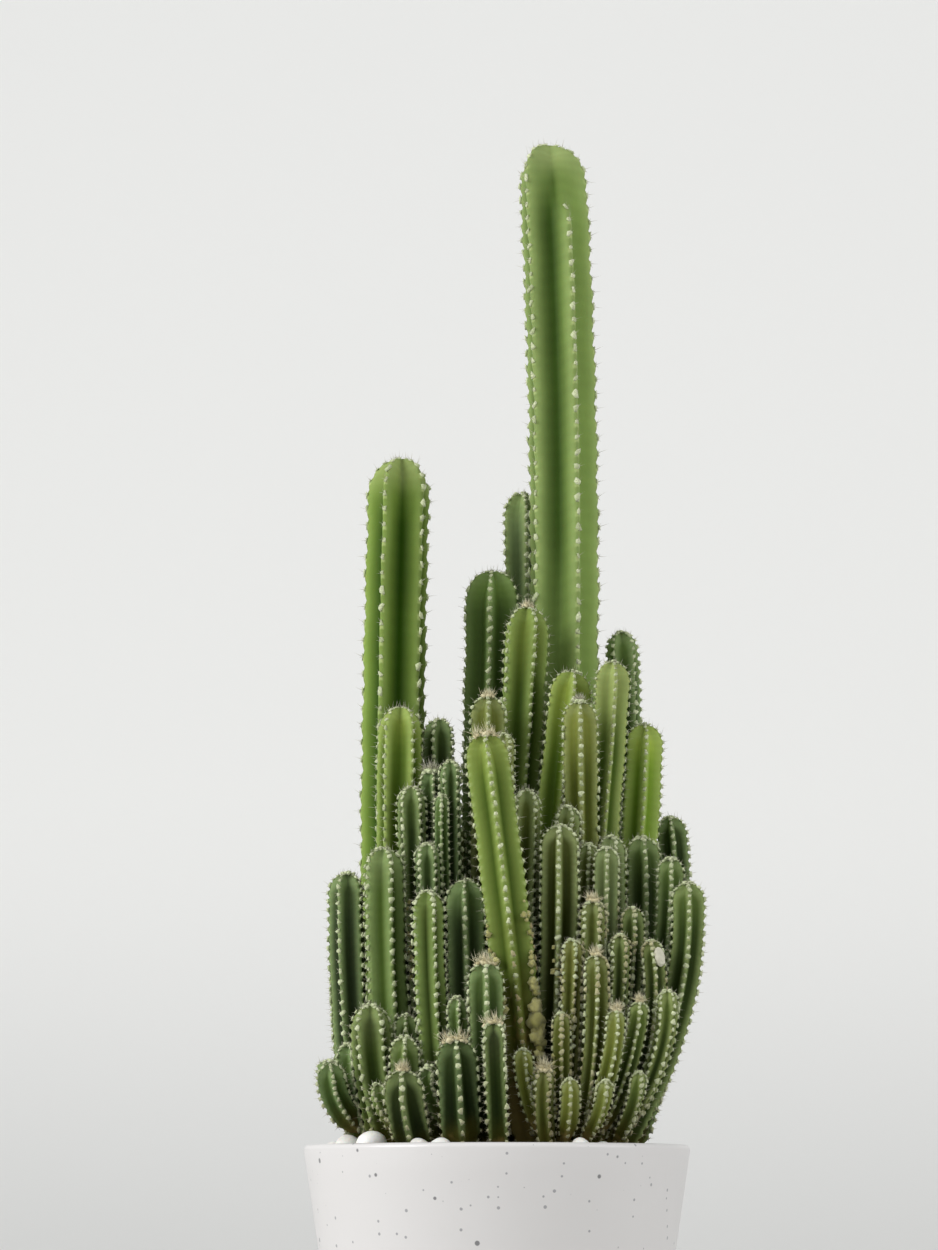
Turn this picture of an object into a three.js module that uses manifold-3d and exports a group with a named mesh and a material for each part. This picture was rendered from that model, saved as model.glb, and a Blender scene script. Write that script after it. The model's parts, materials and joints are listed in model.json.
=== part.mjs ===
// A clump of ribbed triangle-cactus stems in a round white ceramic pot, at its real size in millimetres.
// +Z is up, -Y is the front, and the origin is the middle of the pot's flat foot.
import * as THREE from "three";
import { mergeVertices } from "three/addons/utils/BufferGeometryUtils.js";
import Module from "manifold-3d";

const wasm = await Module();
wasm.setup();

// The pot: a plain tapered ceramic cylinder with three drain holes
const POT_HEIGHT = 180;
const RIM_RADIUS = 106;
const FOOT_RADIUS = 78;
const WALL = 7;
const FLOOR = 9;
const EDGE_ROUNDING = 1.6;
const POT_SIDES = 40;
const DRAIN_RADIUS = 5;
const DRAIN_PLACE = 38;
const DRAIN_HOLES = 3;
const DRAIN_SIDES = 8;

// The clear gap between two pieces, and how far a cut runs past the face it opens
const GAP = 0.3;
const CUT_PAST = 1;

// What fills the pot: soil, and white pebbles lying on a thin bed near the wall
const SOIL_TOP = 171;
const BED_THICKNESS = 3;
const BED_INNER = 84;
const BED_SIDES = 20;
const PEBBLE_RADIUS = 6.8;
const PEBBLE_LEAST = 0.8;
const PEBBLE_SIZES = [1, 0.85, 0.7];
const PEBBLE_FLATNESS = 0.74;
const FRONT_FLATNESS = 0.95;
const PEBBLES_ROUND = 32;
const PEBBLE_SCATTER = 0.4;
const PEBBLE_TO_WALL = 0.5;
const PEBBLE_SPACING = 0.6;

// How a stem grows, in millimetres. What ends in SHARE is multiplied by the stem's radius.
const STUB_DEPTH = 9;
const NECK_SHARE = 0.5;
const NECK_LENGTH = 12;
const NECK_LENGTH_SHARE = 0.8;
const LEVEL_FOOT_SHARE = 1.5;
const DOME_SHARE = 1.25;
const FURROW_SHARE = 0.54;
const FURROW_STEP = 80;
const TOOTH_HEIGHT = 0.35;
const TOOTH_HEIGHT_SHARE = 0.05;
const TOOTH_PITCH = 28;
const TOOTH_PITCH_SHARE = 1;

// Parts of a whole: how full a stem is at its foot, where a tooth's notch and crest lie in its pitch, how
// far the teeth of neighbouring ribs are shifted, how much of a neck and of a shoot is bare, and where the
// last points of an edge and of a furrow lie, in domes below the tip
const FOOT_FULLNESS = 0.93;
const NOTCH_PLACE = 0.05;
const CREST_PLACE = 0.5;
const STAGGER = 0.4;
const BARE_NECK = 0.5;
const BARE_SHOOT = 0.25;
const DOME_STOPS = [0.5, 0.14];
const FURROW_END = 0.35;

// Spines stand on the teeth and round the growing tip, wider apart than on the living plant.
const SPINE_LENGTH = 2.6;
const SPINE_LENGTH_SHARE = 0.13;
const SPINE_WIDTH = 0.45;
const SPINE_LIFT = 0.3;
const SPINE_EVERY = 3;
const SPINE_CLEARANCE = 1;
const LOWEST_SPINE = SOIL_TOP + 24;

// Colours of the stems, the pot and what fills it
const GREEN = 0x4f7a3a;
const DEEP = 0x2f5138;
const FRESH = 0x86a548;
const OLIVE = 0x5c6a45;
const CERAMIC = 0xe9e7e3;
const EARTH = 0x2e241c;
const WHITE_STONE = 0xf1efeb;

// One row for each stem that stands in the soil, with the shoots that grow out of its foot. tip is the
// growing point, foot the place on the soil and knee a point in plan that the curve between them is drawn
// towards. from is how far above the soil a shoot leaves its stem, and turn is the angle of one rib from the
// front, in degrees.
const PLANTS = [
  {
    name: "stem_tallest", colour: GREEN, tip: [33, 66, 787], radius: 21, turn: 24,
    knee: [48, 62], foot: [42, 54],
  },
  { name: "stem_second", colour: GREEN, tip: [-55, 47, 583], radius: 18.6, turn: -26, foot: [-56, 38] },
  { name: "stem_before_second", colour: FRESH, tip: [-53, 12, 427], radius: 13, turn: -36, foot: [-48, 10] },
  { name: "stem_left_wide", colour: GREEN, tip: [-62, -27, 341], radius: 11.3, turn: 24, foot: [-52, -22] },
  { name: "stem_left_slim", colour: DEEP, tip: [-48, -11, 377], radius: 8, turn: 36, foot: [-38, -8] },
  { name: "stem_left_low", colour: GREEN, tip: [-67, -50, 254], radius: 11, turn: -36, foot: [-54, -40] },
  { name: "stem_left_outer", colour: DEEP, tip: [-83, -14, 329], radius: 10.2, turn: -24, foot: [-70, -10] },
  {
    name: "stem_left_corner", colour: DEEP, tip: [-81, -34, 234], radius: 7.6, turn: 10, foot: [-67, -28],
    shoots: [{ tip: [-87, -49, 223], radius: 7.8, turn: 20, from: 14 }],
  },
  {
    name: "stem_front_left", colour: DEEP, tip: [-51, -75, 218], radius: 10.5, turn: -5, foot: [-43, -62],
    shoots: [
      { tip: [-63, -64, 211], radius: 5, ribs: 4, turn: -30, from: 10 },
      { tip: [-51, -57, 236], radius: 8, turn: 0, from: 10 },
    ],
  },
  { name: "stem_front_left_back", colour: DEEP, tip: [-50, -41, 249], radius: 6, turn: 0, foot: [-42, -40] },
  { name: "stem_front_bright", colour: FRESH, tip: [-38, -50, 315], radius: 8.6, turn: 25, foot: [-28, -48] },
  { name: "stem_front_dark", colour: DEEP, tip: [-18, -28, 323], radius: 10.8, turn: -4, foot: [-12, -28] },
  {
    name: "stem_front_middle", colour: DEEP, tip: [-24, -75, 234], radius: 10.8, turn: 5, foot: [-20, -65],
    shoots: [{ tip: [-37, -66, 220], radius: 5, ribs: 4, turn: 20, from: 12 }],
  },
  {
    name: "stem_front_four", colour: GREEN, tip: [-4, -76, 242], radius: 7, ribs: 4, turn: 45,
    foot: [-1, -68],
  },
  {
    name: "stem_front_crowned", colour: DEEP, tip: [-7, -58, 275], radius: 9.3, turn: 2, foot: [-4, -50],
    shoots: [{ tip: [-22, -57, 257], radius: 5.3, turn: 10, from: 20 }],
  },
  { name: "stem_inner_left", colour: DEEP, tip: [-37, -23, 343], radius: 6.9, turn: 34, foot: [-28, -22] },
  { name: "stem_inner_dark", colour: DEEP, tip: [-38, 3, 388], radius: 6.5, turn: 12, foot: [-28, 4] },
  {
    name: "stem_inner_front", colour: DEEP, tip: [-29, -9, 392], radius: 5.9, turn: 40, foot: [-19, -9],
    shoots: [{ tip: [-31, -18, 371], radius: 3.6, ribs: 4, turn: 0, from: 30 }],
  },
  { name: "stem_inner_back", colour: DEEP, tip: [-33, 28, 422], radius: 8.9, turn: -20, foot: [-26, 24] },
  {
    name: "stem_leaning", colour: FRESH, tip: [-7, -44, 402], radius: 12.3, turn: 2,
    knee: [11, -47], foot: [30, -50],
  },
  {
    name: "stem_centre_olive", colour: OLIVE, tip: [-4, 5, 432], radius: 9.9, turn: 0, foot: [-2, 6],
    shoots: [{ tip: [4, -10, 407], radius: 5.6, turn: 30, from: 25 }],
  },
  { name: "stem_centre_tall", colour: DEEP, tip: [-1, 70, 519], radius: 15.6, turn: -5, foot: [-4, 60] },
  { name: "stem_back_tall", colour: DEEP, tip: [16, 93, 573], radius: 12, turn: 10, foot: [14, 74] },
  { name: "stem_centre_fresh", colour: FRESH, tip: [26, 38, 489], radius: 12.9, turn: 24, foot: [16, 36] },
  {
    name: "stem_centre_leaning", colour: FRESH, tip: [43, 25, 449], radius: 12.3, turn: 10,
    knee: [29, 20], foot: [24, 10],
  },
  { name: "stem_centre_brown", colour: OLIVE, tip: [45, 2, 427], radius: 9.7, turn: 0, foot: [40, 2] },
  {
    name: "stem_right_tall", colour: GREEN, tip: [66, 8, 453], radius: 10, turn: 10,
    knee: [59, 10], foot: [46, 16],
  },
  { name: "stem_right_hidden", colour: DEEP, tip: [73, 66, 482], radius: 9.6, turn: -36, foot: [57, 60] },
  {
    name: "stem_right_bright", colour: FRESH, tip: [84, 22, 419], radius: 10.9, turn: 5,
    knee: [76, 22], foot: [52, 22],
  },
  { name: "stem_right_outer", colour: DEEP, tip: [99, 40, 367], radius: 9, turn: 0, foot: [60, 38] },
  { name: "stem_centre_grey", colour: OLIVE, tip: [16, -21, 374], radius: 8.3, turn: 36, foot: [20, -20] },
  { name: "stem_dotted", colour: OLIVE, tip: [35, -32, 352], radius: 10.4, turn: -6, foot: [31, -32] },
  { name: "stem_dotted_back", colour: OLIVE, tip: [45, -14, 365], radius: 7, turn: 20, foot: [37, -12] },
  { name: "stem_dotted_side", colour: OLIVE, tip: [49, -20, 343], radius: 5.6, turn: 0, foot: [44, -18] },
  { name: "stem_right_grey", colour: OLIVE, tip: [57, -30, 340], radius: 6.6, turn: 0, foot: [43, -28] },
  { name: "stem_right_grey_back", colour: OLIVE, tip: [63, -13, 349], radius: 7.8, turn: 20, foot: [52, -12] },
  {
    name: "stem_right_pair", colour: DEEP, tip: [81, -9, 350], radius: 9.7, turn: 8, foot: [56, -12],
    shoots: [{ tip: [96, -21, 336], radius: 7.1, turn: 0, from: 18 }],
  },
  // The fan of slim stems at the front right
  { name: "stem_fan_olive", colour: OLIVE, tip: [41, -54, 288], radius: 5.4, turn: 20, foot: [39, -50] },
  {
    name: "stem_fan_front", colour: OLIVE, tip: [52, -66, 279], radius: 6.2, turn: 0, foot: [43, -62],
    shoots: [
      { tip: [62, -77, 249], radius: 4.8, ribs: 4, turn: 10, from: 12 },
      { tip: [56, -84, 212], radius: 4.3, ribs: 4, turn: 10, from: 8 },
    ],
  },
  {
    name: "stem_fan_low", colour: OLIVE, tip: [34, -68, 248], radius: 4.4, ribs: 4, turn: 0, foot: [37, -66],
    shoots: [{ tip: [37, -80, 213], radius: 4.7, ribs: 4, turn: 0, from: 8 }],
  },
  {
    name: "stem_fan_corner", colour: OLIVE, tip: [24, -76, 219], radius: 5.8, turn: 30, foot: [29, -68],
    shoots: [{ tip: [14, -68, 229], radius: 4.8, ribs: 4, turn: 10, from: 10 }],
  },
  { name: "stem_fan_back", colour: OLIVE, tip: [52, -47, 310], radius: 6.8, turn: 30, foot: [44, -42] },
  {
    name: "stem_fan_curved", colour: DEEP, tip: [103, -34, 321], radius: 8.8, turn: 0,
    knee: [105, -36], foot: [46, -30],
  },
  { name: "stem_fan_inner", colour: DEEP, tip: [73, -36, 307], radius: 6.3, turn: 10, foot: [50, -36] },
  {
    name: "stem_fan_middle", colour: DEEP, tip: [66, -53, 291], radius: 5.4, turn: 30, foot: [49, -53],
    shoots: [{ tip: [76, -70, 254], radius: 4.8, ribs: 4, turn: 0, from: 12 }],
  },
  {
    name: "stem_fan_outer", colour: DEEP, tip: [82, -50, 288], radius: 5.7, turn: 0, foot: [54, -46],
    shoots: [
      { tip: [89, -63, 260], radius: 5.6, turn: 30, from: 16 },
      { tip: [72, -65, 217], radius: 4.3, ribs: 4, turn: 20, from: 8 },
    ],
  },
  // The far side, which the front hides
  {
    name: "stem_back_left", colour: GREEN, tip: [-62, 80, 332], radius: 10.4, turn: 180, foot: [-50, 62],
    shoots: [{ tip: [-78, 68, 252], radius: 6.4, turn: 150, from: 14 }],
  },
  { name: "stem_side_left", colour: DEEP, tip: [-82, 24, 296], radius: 9.4, turn: -90, foot: [-70, 16] },
  {
    name: "stem_back_left_low", colour: GREEN, tip: [-36, 90, 286], radius: 9.2, turn: 200, foot: [-28, 70],
    shoots: [{ tip: [-48, 98, 226], radius: 5.6, turn: 180, from: 12 }],
  },
  { name: "stem_back_inner", colour: OLIVE, tip: [-24, 52, 366], radius: 8.6, turn: 170, foot: [-24, 46] },
  {
    name: "stem_back_middle", colour: FRESH, tip: [-10, 98, 262], radius: 8.4, turn: 190, foot: [-8, 76],
    shoots: [{ tip: [-22, 102, 216], radius: 5, ribs: 4, turn: 180, from: 10 }],
  },
  { name: "stem_back_right_low", colour: DEEP, tip: [45, 102, 264], radius: 8.4, turn: 160, foot: [38, 77] },
  {
    name: "stem_back_right", colour: GREEN, tip: [68, 88, 352], radius: 10, turn: 150, foot: [52, 70],
    shoots: [{ tip: [80, 82, 246], radius: 6.2, turn: 140, from: 12 }],
  },
  { name: "stem_side_right", colour: OLIVE, tip: [96, 60, 316], radius: 9, turn: 110, foot: [58, 54] },
];

const UP = new THREE.Vector3(0, 0, 1);

const STEMS = PLANTS.flatMap((plant, index) =>
  [plant, ...(plant.shoots ?? [])].map((row) => ({
    plant: index,
    isShoot: row !== plant,
    ribs: row.ribs ?? 5,
    radius: row.radius,
    turn: THREE.MathUtils.degToRad(row.turn),
    foot: row.foot ? [...row.foot] : null,
    knee: [...(row.knee ?? row.tip.slice(0, 2))],
    tip: row.tip.slice(0, 2),
    low: SOIL_TOP + (row.from ?? 0),
    high: row.tip[2],
  })),
);
for (const stem of STEMS) stem.main = STEMS.find((other) => other.plant === stem.plant);

const smooth = (x) => {
  const t = Math.min(1, Math.max(0, x));
  return t * t * (3 - 2 * t);
};

const neckLength = (radius) => NECK_LENGTH + NECK_LENGTH_SHARE * radius;
const domeLength = (radius) => DOME_SHARE * radius;
const toothHeight = (radius) => TOOTH_HEIGHT + TOOTH_HEIGHT_SHARE * radius;

// The share of its radius that a stem has at a place along it: a narrow neck, a full body and a domed tip.
function widthShare(along, length, radius) {
  const neck = NECK_SHARE + (1 - NECK_SHARE) * smooth(along / neckLength(radius));
  const past = Math.max(0, along - (length - domeLength(radius))) / domeLength(radius);
  const body = FOOT_FULLNESS + (1 - FOOT_FULLNESS) * smooth((2 * along) / length);
  return neck * body * Math.sqrt(Math.max(0, 1 - past * past));
}

// A stem's place in plan at a share of its height, on a curve through foot, knee and tip.
// A shoot's foot is a point inside the stem that it grows from.
function planAt(stem, t) {
  const foot = stem.foot ?? planAt(stem.main, (stem.low - SOIL_TOP) / (stem.main.high - SOIL_TOP));
  const [a, b, c] = [(1 - t) ** 2, 2 * t * (1 - t), t * t];
  return [0, 1].map((axis) => a * foot[axis] + b * stem.knee[axis] + c * stem.tip[axis]);
}

// Where a level plane cuts a stem, and how far its ribs reach there.
const SLOPE_STEP = 0.02;

function sliceAt(stem, z) {
  if (z <= stem.low || z >= stem.high) return null;
  const height = stem.high - stem.low;
  const t = (z - stem.low) / height;
  const [x, y] = planAt(stem, t);
  const [nextX, nextY] = planAt(stem, t + SLOPE_STEP);
  const lean = Math.hypot(nextX - x, nextY - y, SLOPE_STEP * height) / (SLOPE_STEP * height);
  const wide = stem.radius * widthShare(z - stem.low, height, stem.radius) + toothHeight(stem.radius);
  return { x, y, t, reach: wide * lean };
}

// Stems that crowd each other lean apart until each has room for its ribs. Depth gives way before width,
// and a foot stays far enough inside the pot for its neck to clear the pebble bed.
const ROUNDS = 180;
const LEVEL = 12;
const ROOM = 0.5;
const SIDE_SHARE = 0.2;
const DEPTH_SHARE = 0.5;
const KIN_SHARE = 0.45;
const EASE = 1.6;
const BED_CLEARANCE = 6.5;
const NECK_REACH = 0.6;
const footLimit = (stem) => BED_INNER - BED_CLEARANCE - NECK_REACH * stem.radius;

function pushApart(slice, moves) {
  for (let i = 0; i < STEMS.length; i += 1) {
    for (let j = i + 1; j < STEMS.length; j += 1) {
      const [a, b] = [slice[i], slice[j]];
      if (!a || !b) continue;
      const areKin = STEMS[i].plant === STEMS[j].plant;
      if (areKin && Math.min(a.t, b.t) < KIN_SHARE) continue;
      const [dx, dy] = [b.x - a.x, b.y - a.y];
      const apart = Math.hypot(dx, dy);
      const room = a.reach + b.reach + ROOM;
      if (apart >= room) continue;
      const short = (room - apart) / 2;
      const straight = [(short * dx) / apart, (short * dy) / apart];
      const deeper = (Math.sqrt(room * room - dx * dx) - Math.abs(dy)) / 2;
      const inDepth = [SIDE_SHARE * straight[0], DEPTH_SHARE * Math.sign(dy) * deeper];
      const upper = smooth(a.t + b.t);
      const push = straight.map((value, axis) => value + upper * (inDepth[axis] - value));
      for (const [move, t, sign] of [[moves[i], a.t, -1], [moves[j], b.t, 1]]) {
        for (const axis of [0, 1]) {
          move.foot[axis] += sign * push[axis] * (1 - t) ** 2;
          move.knee[axis] += sign * push[axis] * 2 * t * (1 - t);
          move.tip[axis] += sign * push[axis] * t ** 2;
        }
        move.count += 1;
      }
    }
  }
}

function makeRoom() {
  const top = Math.max(...STEMS.map((stem) => stem.high));
  for (let round = 0; round < ROUNDS; round += 1) {
    const moves = STEMS.map(() => ({ foot: [0, 0], knee: [0, 0], tip: [0, 0], count: 0 }));
    for (let z = SOIL_TOP + LEVEL / 2; z < top; z += LEVEL) {
      pushApart(STEMS.map((stem) => sliceAt(stem, z)), moves);
    }
    STEMS.forEach((stem, k) => {
      const ease = EASE / Math.sqrt(Math.max(1, moves[k].count));
      for (const part of ["foot", "knee", "tip"]) {
        if (stem[part]) stem[part] = stem[part].map((value, axis) => value + ease * moves[k][part][axis]);
      }
      if (!stem.foot) return;
      const out = Math.hypot(...stem.foot);
      if (out > footLimit(stem)) stem.foot = stem.foot.map((value) => (value * footLimit(stem)) / out);
    });
  }
}
makeRoom();

// The centreline of a stem as points with the length so far
const LINE_STEPS = 40;

function centreline(stem) {
  const points = [];
  const lengths = [0];
  for (let i = 0; i <= LINE_STEPS; i += 1) {
    const t = i / LINE_STEPS;
    points.push(new THREE.Vector3(...planAt(stem, t), stem.low + t * (stem.high - stem.low)));
    if (i > 0) lengths.push(lengths[i - 1] + points[i].distanceTo(points[i - 1]));
  }
  return { stem, points, lengths, length: lengths[LINE_STEPS] };
}

// The directions across a stem at a place along it. Its foot lies level on the soil.
function frameAt(line, along) {
  const { stem, points, lengths, length } = line;
  const place = Math.min(length, Math.max(0, along));
  let i = 1;
  while (i < LINE_STEPS && lengths[i] < place) i += 1;
  const share = (place - lengths[i - 1]) / (lengths[i] - lengths[i - 1]);
  const centre = points[i - 1].clone().lerp(points[i], share);
  const rise = points[Math.min(LINE_STEPS, i + 1)].clone().sub(points[Math.max(0, i - 2)]).normalize();
  if (!stem.isShoot) rise.lerp(UP, 1 - smooth(place / (LEVEL_FOOT_SHARE * stem.radius))).normalize();
  const right = new THREE.Vector3(1, 0, 0).addScaledVector(rise, -rise.x).normalize();
  return { centre, rise, right, away: rise.clone().cross(right) };
}

const outwardAt = (frame, angle) =>
  frame.right.clone().multiplyScalar(Math.sin(angle)).addScaledVector(frame.away, -Math.cos(angle));

// A point beside the centreline, at an angle from the front and a distance out.
function beside(line, along, angle, out) {
  const frame = frameAt(line, along);
  return frame.centre.addScaledVector(outwardAt(frame, angle), out);
}

// Spines keep clear of every other plant's stems.
const isClear = (stem, point) =>
  STEMS.every((other) => {
    if (other.plant === stem.plant || point.z > other.high + SPINE_CLEARANCE) return true;
    const dome = DOME_STOPS[0] * domeLength(other.radius);
    const slice = sliceAt(other, Math.min(point.z, other.high - dome));
    return !slice || Math.hypot(point.x - slice.x, point.y - slice.y) > slice.reach + SPINE_CLEARANCE;
  });

// A faceted stem is one closed skin. Each rib's edge is a line of teeth, some with a three-sided spine, and
// the furrow between two ribs is a plain line. The skin is stretched between them and closes at the growing
// tip.
function stemSkin(stem) {
  const line = centreline(stem);
  const { length } = line;
  const { ribs, radius, turn } = stem;
  const half = Math.PI / ribs;
  const positions = [];
  const triangles = [];
  const place = (point) => positions.push(point.x, point.y, point.z) / 3 - 1;
  const face = (a, b, c) => triangles.push(a, b, c);
  const apex = place(line.points[LINE_STEPS]);

  const bodyStart = (stem.isShoot ? BARE_SHOOT * length : 0) + BARE_NECK * neckLength(radius);
  const bodyEnd = length - domeLength(radius);
  const usualPitch = TOOTH_PITCH + TOOTH_PITCH_SHARE * radius;
  const teeth = Math.max(1, Math.round((bodyEnd - bodyStart) / usualPitch));
  const pitch = (bodyEnd - bodyStart) / teeth;

  function edgeStops(rib) {
    const stops = [{ along: 0, out: NECK_SHARE * radius }];
    const shift = (((rib * 2) % ribs) / ribs) * STAGGER;
    for (let i = 0; i < teeth; i += 1) {
      for (const [share, sign] of [[NOTCH_PLACE, -1], [CREST_PLACE, 1]]) {
        const along = bodyStart + (i + share + shift) * pitch;
        const width = radius * widthShare(along, length, radius);
        const spiny = sign > 0 && (i + 2 * rib) % SPINE_EVERY === 0;
        stops.push({ along, out: width + sign * toothHeight(radius), spiny });
      }
    }
    for (const share of DOME_STOPS) {
      const along = length - share * domeLength(radius);
      const spiny = share === DOME_STOPS[0] && rib % 2 === 0;
      stops.push({ along, out: radius * widthShare(along, length, radius), spiny });
    }
    return stops;
  }

  // A spine's root is a low point on the rib's edge and two points just above it, one on either side.
  function addSpine(stop, angle, edge) {
    const frame = frameAt(line, stop.along);
    const outward = outwardAt(frame, angle);
    const across = outwardAt(frame, angle + Math.PI / 2);
    const axis = outward.clone().addScaledVector(frame.rise, SPINE_LIFT).normalize();
    const root = frame.centre.addScaledVector(outward, stop.out);
    const point = root.clone().addScaledVector(axis, SPINE_LENGTH + SPINE_LENGTH_SHARE * radius);
    if (point.z < LOWEST_SPINE || !isClear(stem, point)) return false;
    const shoulder = root.clone().addScaledVector(outward, -SPINE_WIDTH);
    shoulder.addScaledVector(frame.rise, SPINE_WIDTH);
    const low = place(root.addScaledVector(frame.rise, -SPINE_WIDTH));
    const toRight = place(shoulder.clone().addScaledVector(across, SPINE_WIDTH));
    const toLeft = place(shoulder.addScaledVector(across, -SPINE_WIDTH));
    const tip = place(point);
    face(low, toRight, tip);
    face(toRight, toLeft, tip);
    face(toLeft, low, tip);
    for (const [side, shoulderIndex] of [["left", toLeft], ["right", toRight]]) {
      edge[side].push({ along: stop.along - SPINE_WIDTH, index: low });
      edge[side].push({ along: stop.along + SPINE_WIDTH, index: shoulderIndex });
    }
    edge.open = [toRight, toLeft];
    return true;
  }

  function addEdge(rib) {
    const angle = turn + rib * 2 * half;
    const edge = { left: [], right: [], open: null };
    for (const stop of edgeStops(rib)) {
      const pending = edge.open;
      if (stop.spiny && addSpine(stop, angle, edge)) {
        if (pending) face(pending[0], edge.right.at(-2).index, pending[1]);
        continue;
      }
      const index = place(beside(line, stop.along, angle, stop.out));
      if (pending) face(pending[0], index, pending[1]);
      edge.open = null;
      edge.left.push({ along: stop.along, index });
      edge.right.push({ along: stop.along, index });
    }
    if (edge.open) face(edge.open[0], apex, edge.open[1]);
    return edge;
  }

  function addFurrow(rib) {
    const angle = turn + (rib * 2 + 1) * half;
    const start = neckLength(radius);
    const bends = Math.max(1, Math.round((bodyEnd - start) / FURROW_STEP));
    const stops = [];
    for (let i = 0; i <= bends; i += 1) stops.push(start + (Math.max(2, bodyEnd - start) * i) / bends);
    stops.push(length - FURROW_END * domeLength(radius));
    return stops.map((along) => {
      const out = FURROW_SHARE * radius * widthShare(along, length, radius);
      return { along, index: place(beside(line, along, angle, out)) };
    });
  }

  // The skin between two lines that run up the stem, whose left and right are as seen from outside.
  function stretch(left, right) {
    let [i, j] = [0, 0];
    while (i < left.length - 1 || j < right.length - 1) {
      const raiseLeft =
        j === right.length - 1 || (i < left.length - 1 && left[i + 1].along <= right[j + 1].along);
      face(left[i].index, right[j].index, raiseLeft ? left[i + 1].index : right[j + 1].index);
      if (raiseLeft) i += 1;
      else j += 1;
    }
    face(left[i].index, right[j].index, apex);
  }

  const edges = [];
  const furrows = [];
  for (let rib = 0; rib < ribs; rib += 1) {
    edges.push(addEdge(rib));
    furrows.push(addFurrow(rib));
  }
  let ring = edges.map((edge) => edge.left[0].index);
  for (let rib = 0; rib < ribs; rib += 1) {
    const next = (rib + 1) % ribs;
    stretch(edges[rib].right, furrows[rib]);
    stretch(furrows[rib], edges[next].left);
    face(ring[rib], ring[next], furrows[rib][0].index);
  }
  if (!stem.isShoot) {
    const bottom = SOIL_TOP - STUB_DEPTH;
    const below = (index) => new THREE.Vector3().fromArray(positions, 3 * index).setZ(bottom);
    const foot = ring.map((index) => place(below(index)));
    foot.forEach((index, rib) => {
      const next = (rib + 1) % ribs;
      face(index, foot[next], ring[next]);
      face(index, ring[next], ring[rib]);
    });
    ring = foot;
  }
  for (let rib = 1; rib < ribs - 1; rib += 1) face(ring[0], ring[rib + 1], ring[rib]);
  return { positions, triangles };
}

function solidFrom({ positions, triangles }) {
  return new wasm.Manifold(
    new wasm.Mesh({
      numProp: 3,
      vertProperties: new Float32Array(positions),
      triVerts: new Uint32Array(triangles),
    }),
  );
}

const WELD = 1e-3;

function solidFromGeometry(geometry) {
  const bare = new THREE.BufferGeometry().setAttribute("position", geometry.getAttribute("position"));
  bare.setIndex(geometry.index);
  const merged = mergeVertices(bare, WELD);
  return solidFrom({ positions: merged.attributes.position.array, triangles: merged.index.array });
}

// The largest closed skin of a solid. A hollow that fusing has sealed is filled that way.
function largestBody(solid) {
  return solid.decompose().reduce((best, body) => (body.volume() > best.volume() ? body : best));
}

function turned(profile, sides) {
  const points = profile.map(([out, z]) => new THREE.Vector2(out, z));
  return solidFromGeometry(new THREE.LatheGeometry(points, sides).rotateX(Math.PI / 2));
}

function upright(radius, low, high, sides, turn, [x, y]) {
  const post = new THREE.CylinderGeometry(radius, radius, high - low, sides);
  post.rotateX(Math.PI / 2).rotateZ(turn).translate(x, y, (low + high) / 2);
  return solidFromGeometry(post);
}

const around = (radius, angle) => [radius * Math.cos(angle), radius * Math.sin(angle)];

// The radius of the pot's inner wall at a height
const insideFoot = FOOT_RADIUS - WALL;
const insideRim = RIM_RADIUS - WALL;
const insideHeight = POT_HEIGHT - EDGE_ROUNDING - FLOOR;
const insideAt = (z) => insideFoot + ((insideRim - insideFoot) * (z - FLOOR)) / insideHeight;

function pot() {
  let solid = turned(
    [
      [0, 0],
      [FOOT_RADIUS - EDGE_ROUNDING, 0],
      [FOOT_RADIUS, EDGE_ROUNDING],
      [RIM_RADIUS, POT_HEIGHT - EDGE_ROUNDING],
      [RIM_RADIUS - EDGE_ROUNDING, POT_HEIGHT],
      [insideRim + EDGE_ROUNDING, POT_HEIGHT],
      [insideRim, POT_HEIGHT - EDGE_ROUNDING],
      [insideFoot, FLOOR],
      [0, FLOOR],
    ],
    POT_SIDES,
  );
  for (let i = 0; i < DRAIN_HOLES; i += 1) {
    const place = around(DRAIN_PLACE, Math.PI / 2 + (i * 2 * Math.PI) / DRAIN_HOLES);
    solid = solid.subtract(upright(DRAIN_RADIUS, -CUT_PAST, FLOOR + CUT_PAST, DRAIN_SIDES, 0, place));
  }
  return solid;
}

// The soil has a plain hole for the foot of each stem.
function soil() {
  const [low, high] = [FLOOR + GAP, SOIL_TOP - GAP];
  const [lowEdge, highEdge] = [insideAt(low) - 2 * GAP, insideAt(high) - 2 * GAP];
  let solid = turned([[0, low], [lowEdge, low], [highEdge, high], [0, high]], POT_SIDES);
  for (const stem of STEMS.filter((each) => !each.isShoot)) {
    const radius = NECK_SHARE * stem.radius + 2 * GAP;
    const bottom = SOIL_TOP - STUB_DEPTH - GAP;
    solid = solid.subtract(upright(radius, bottom, SOIL_TOP + CUT_PAST, stem.ribs, stem.turn, stem.foot));
  }
  return solid;
}

// The pebbles. Those that show over the front rim have their own places, and the others go round the wall
// wherever the stems leave them room.
const FRONT_PEBBLES = [
  { x: -80, y: -38, radius: 7.8 },
  { x: -67, y: -59, radius: 8.6 },
  { x: -41, y: -80.5, radius: 6.4 },
  { x: -31, y: -84.5, radius: 6.6 },
  { x: 43.5, y: -79.5, radius: 6.6 },
];

// A seeded random draw between 0 and 1
const DRAW_FACTOR = 16807;
const DRAW_RANGE = 2147483647;
let seed = 7;

function draw() {
  seed = (seed * DRAW_FACTOR) % DRAW_RANGE;
  return seed / DRAW_RANGE;
}

const ROOM_STEP = 2;

function hasRoom(x, y, z, reach) {
  for (let level = z - reach; level <= z + reach; level += ROOM_STEP) {
    for (const stem of STEMS) {
      const slice = sliceAt(stem, level);
      if (slice && Math.hypot(x - slice.x, y - slice.y) < reach + slice.reach + GAP) return false;
    }
  }
  return true;
}

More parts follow.
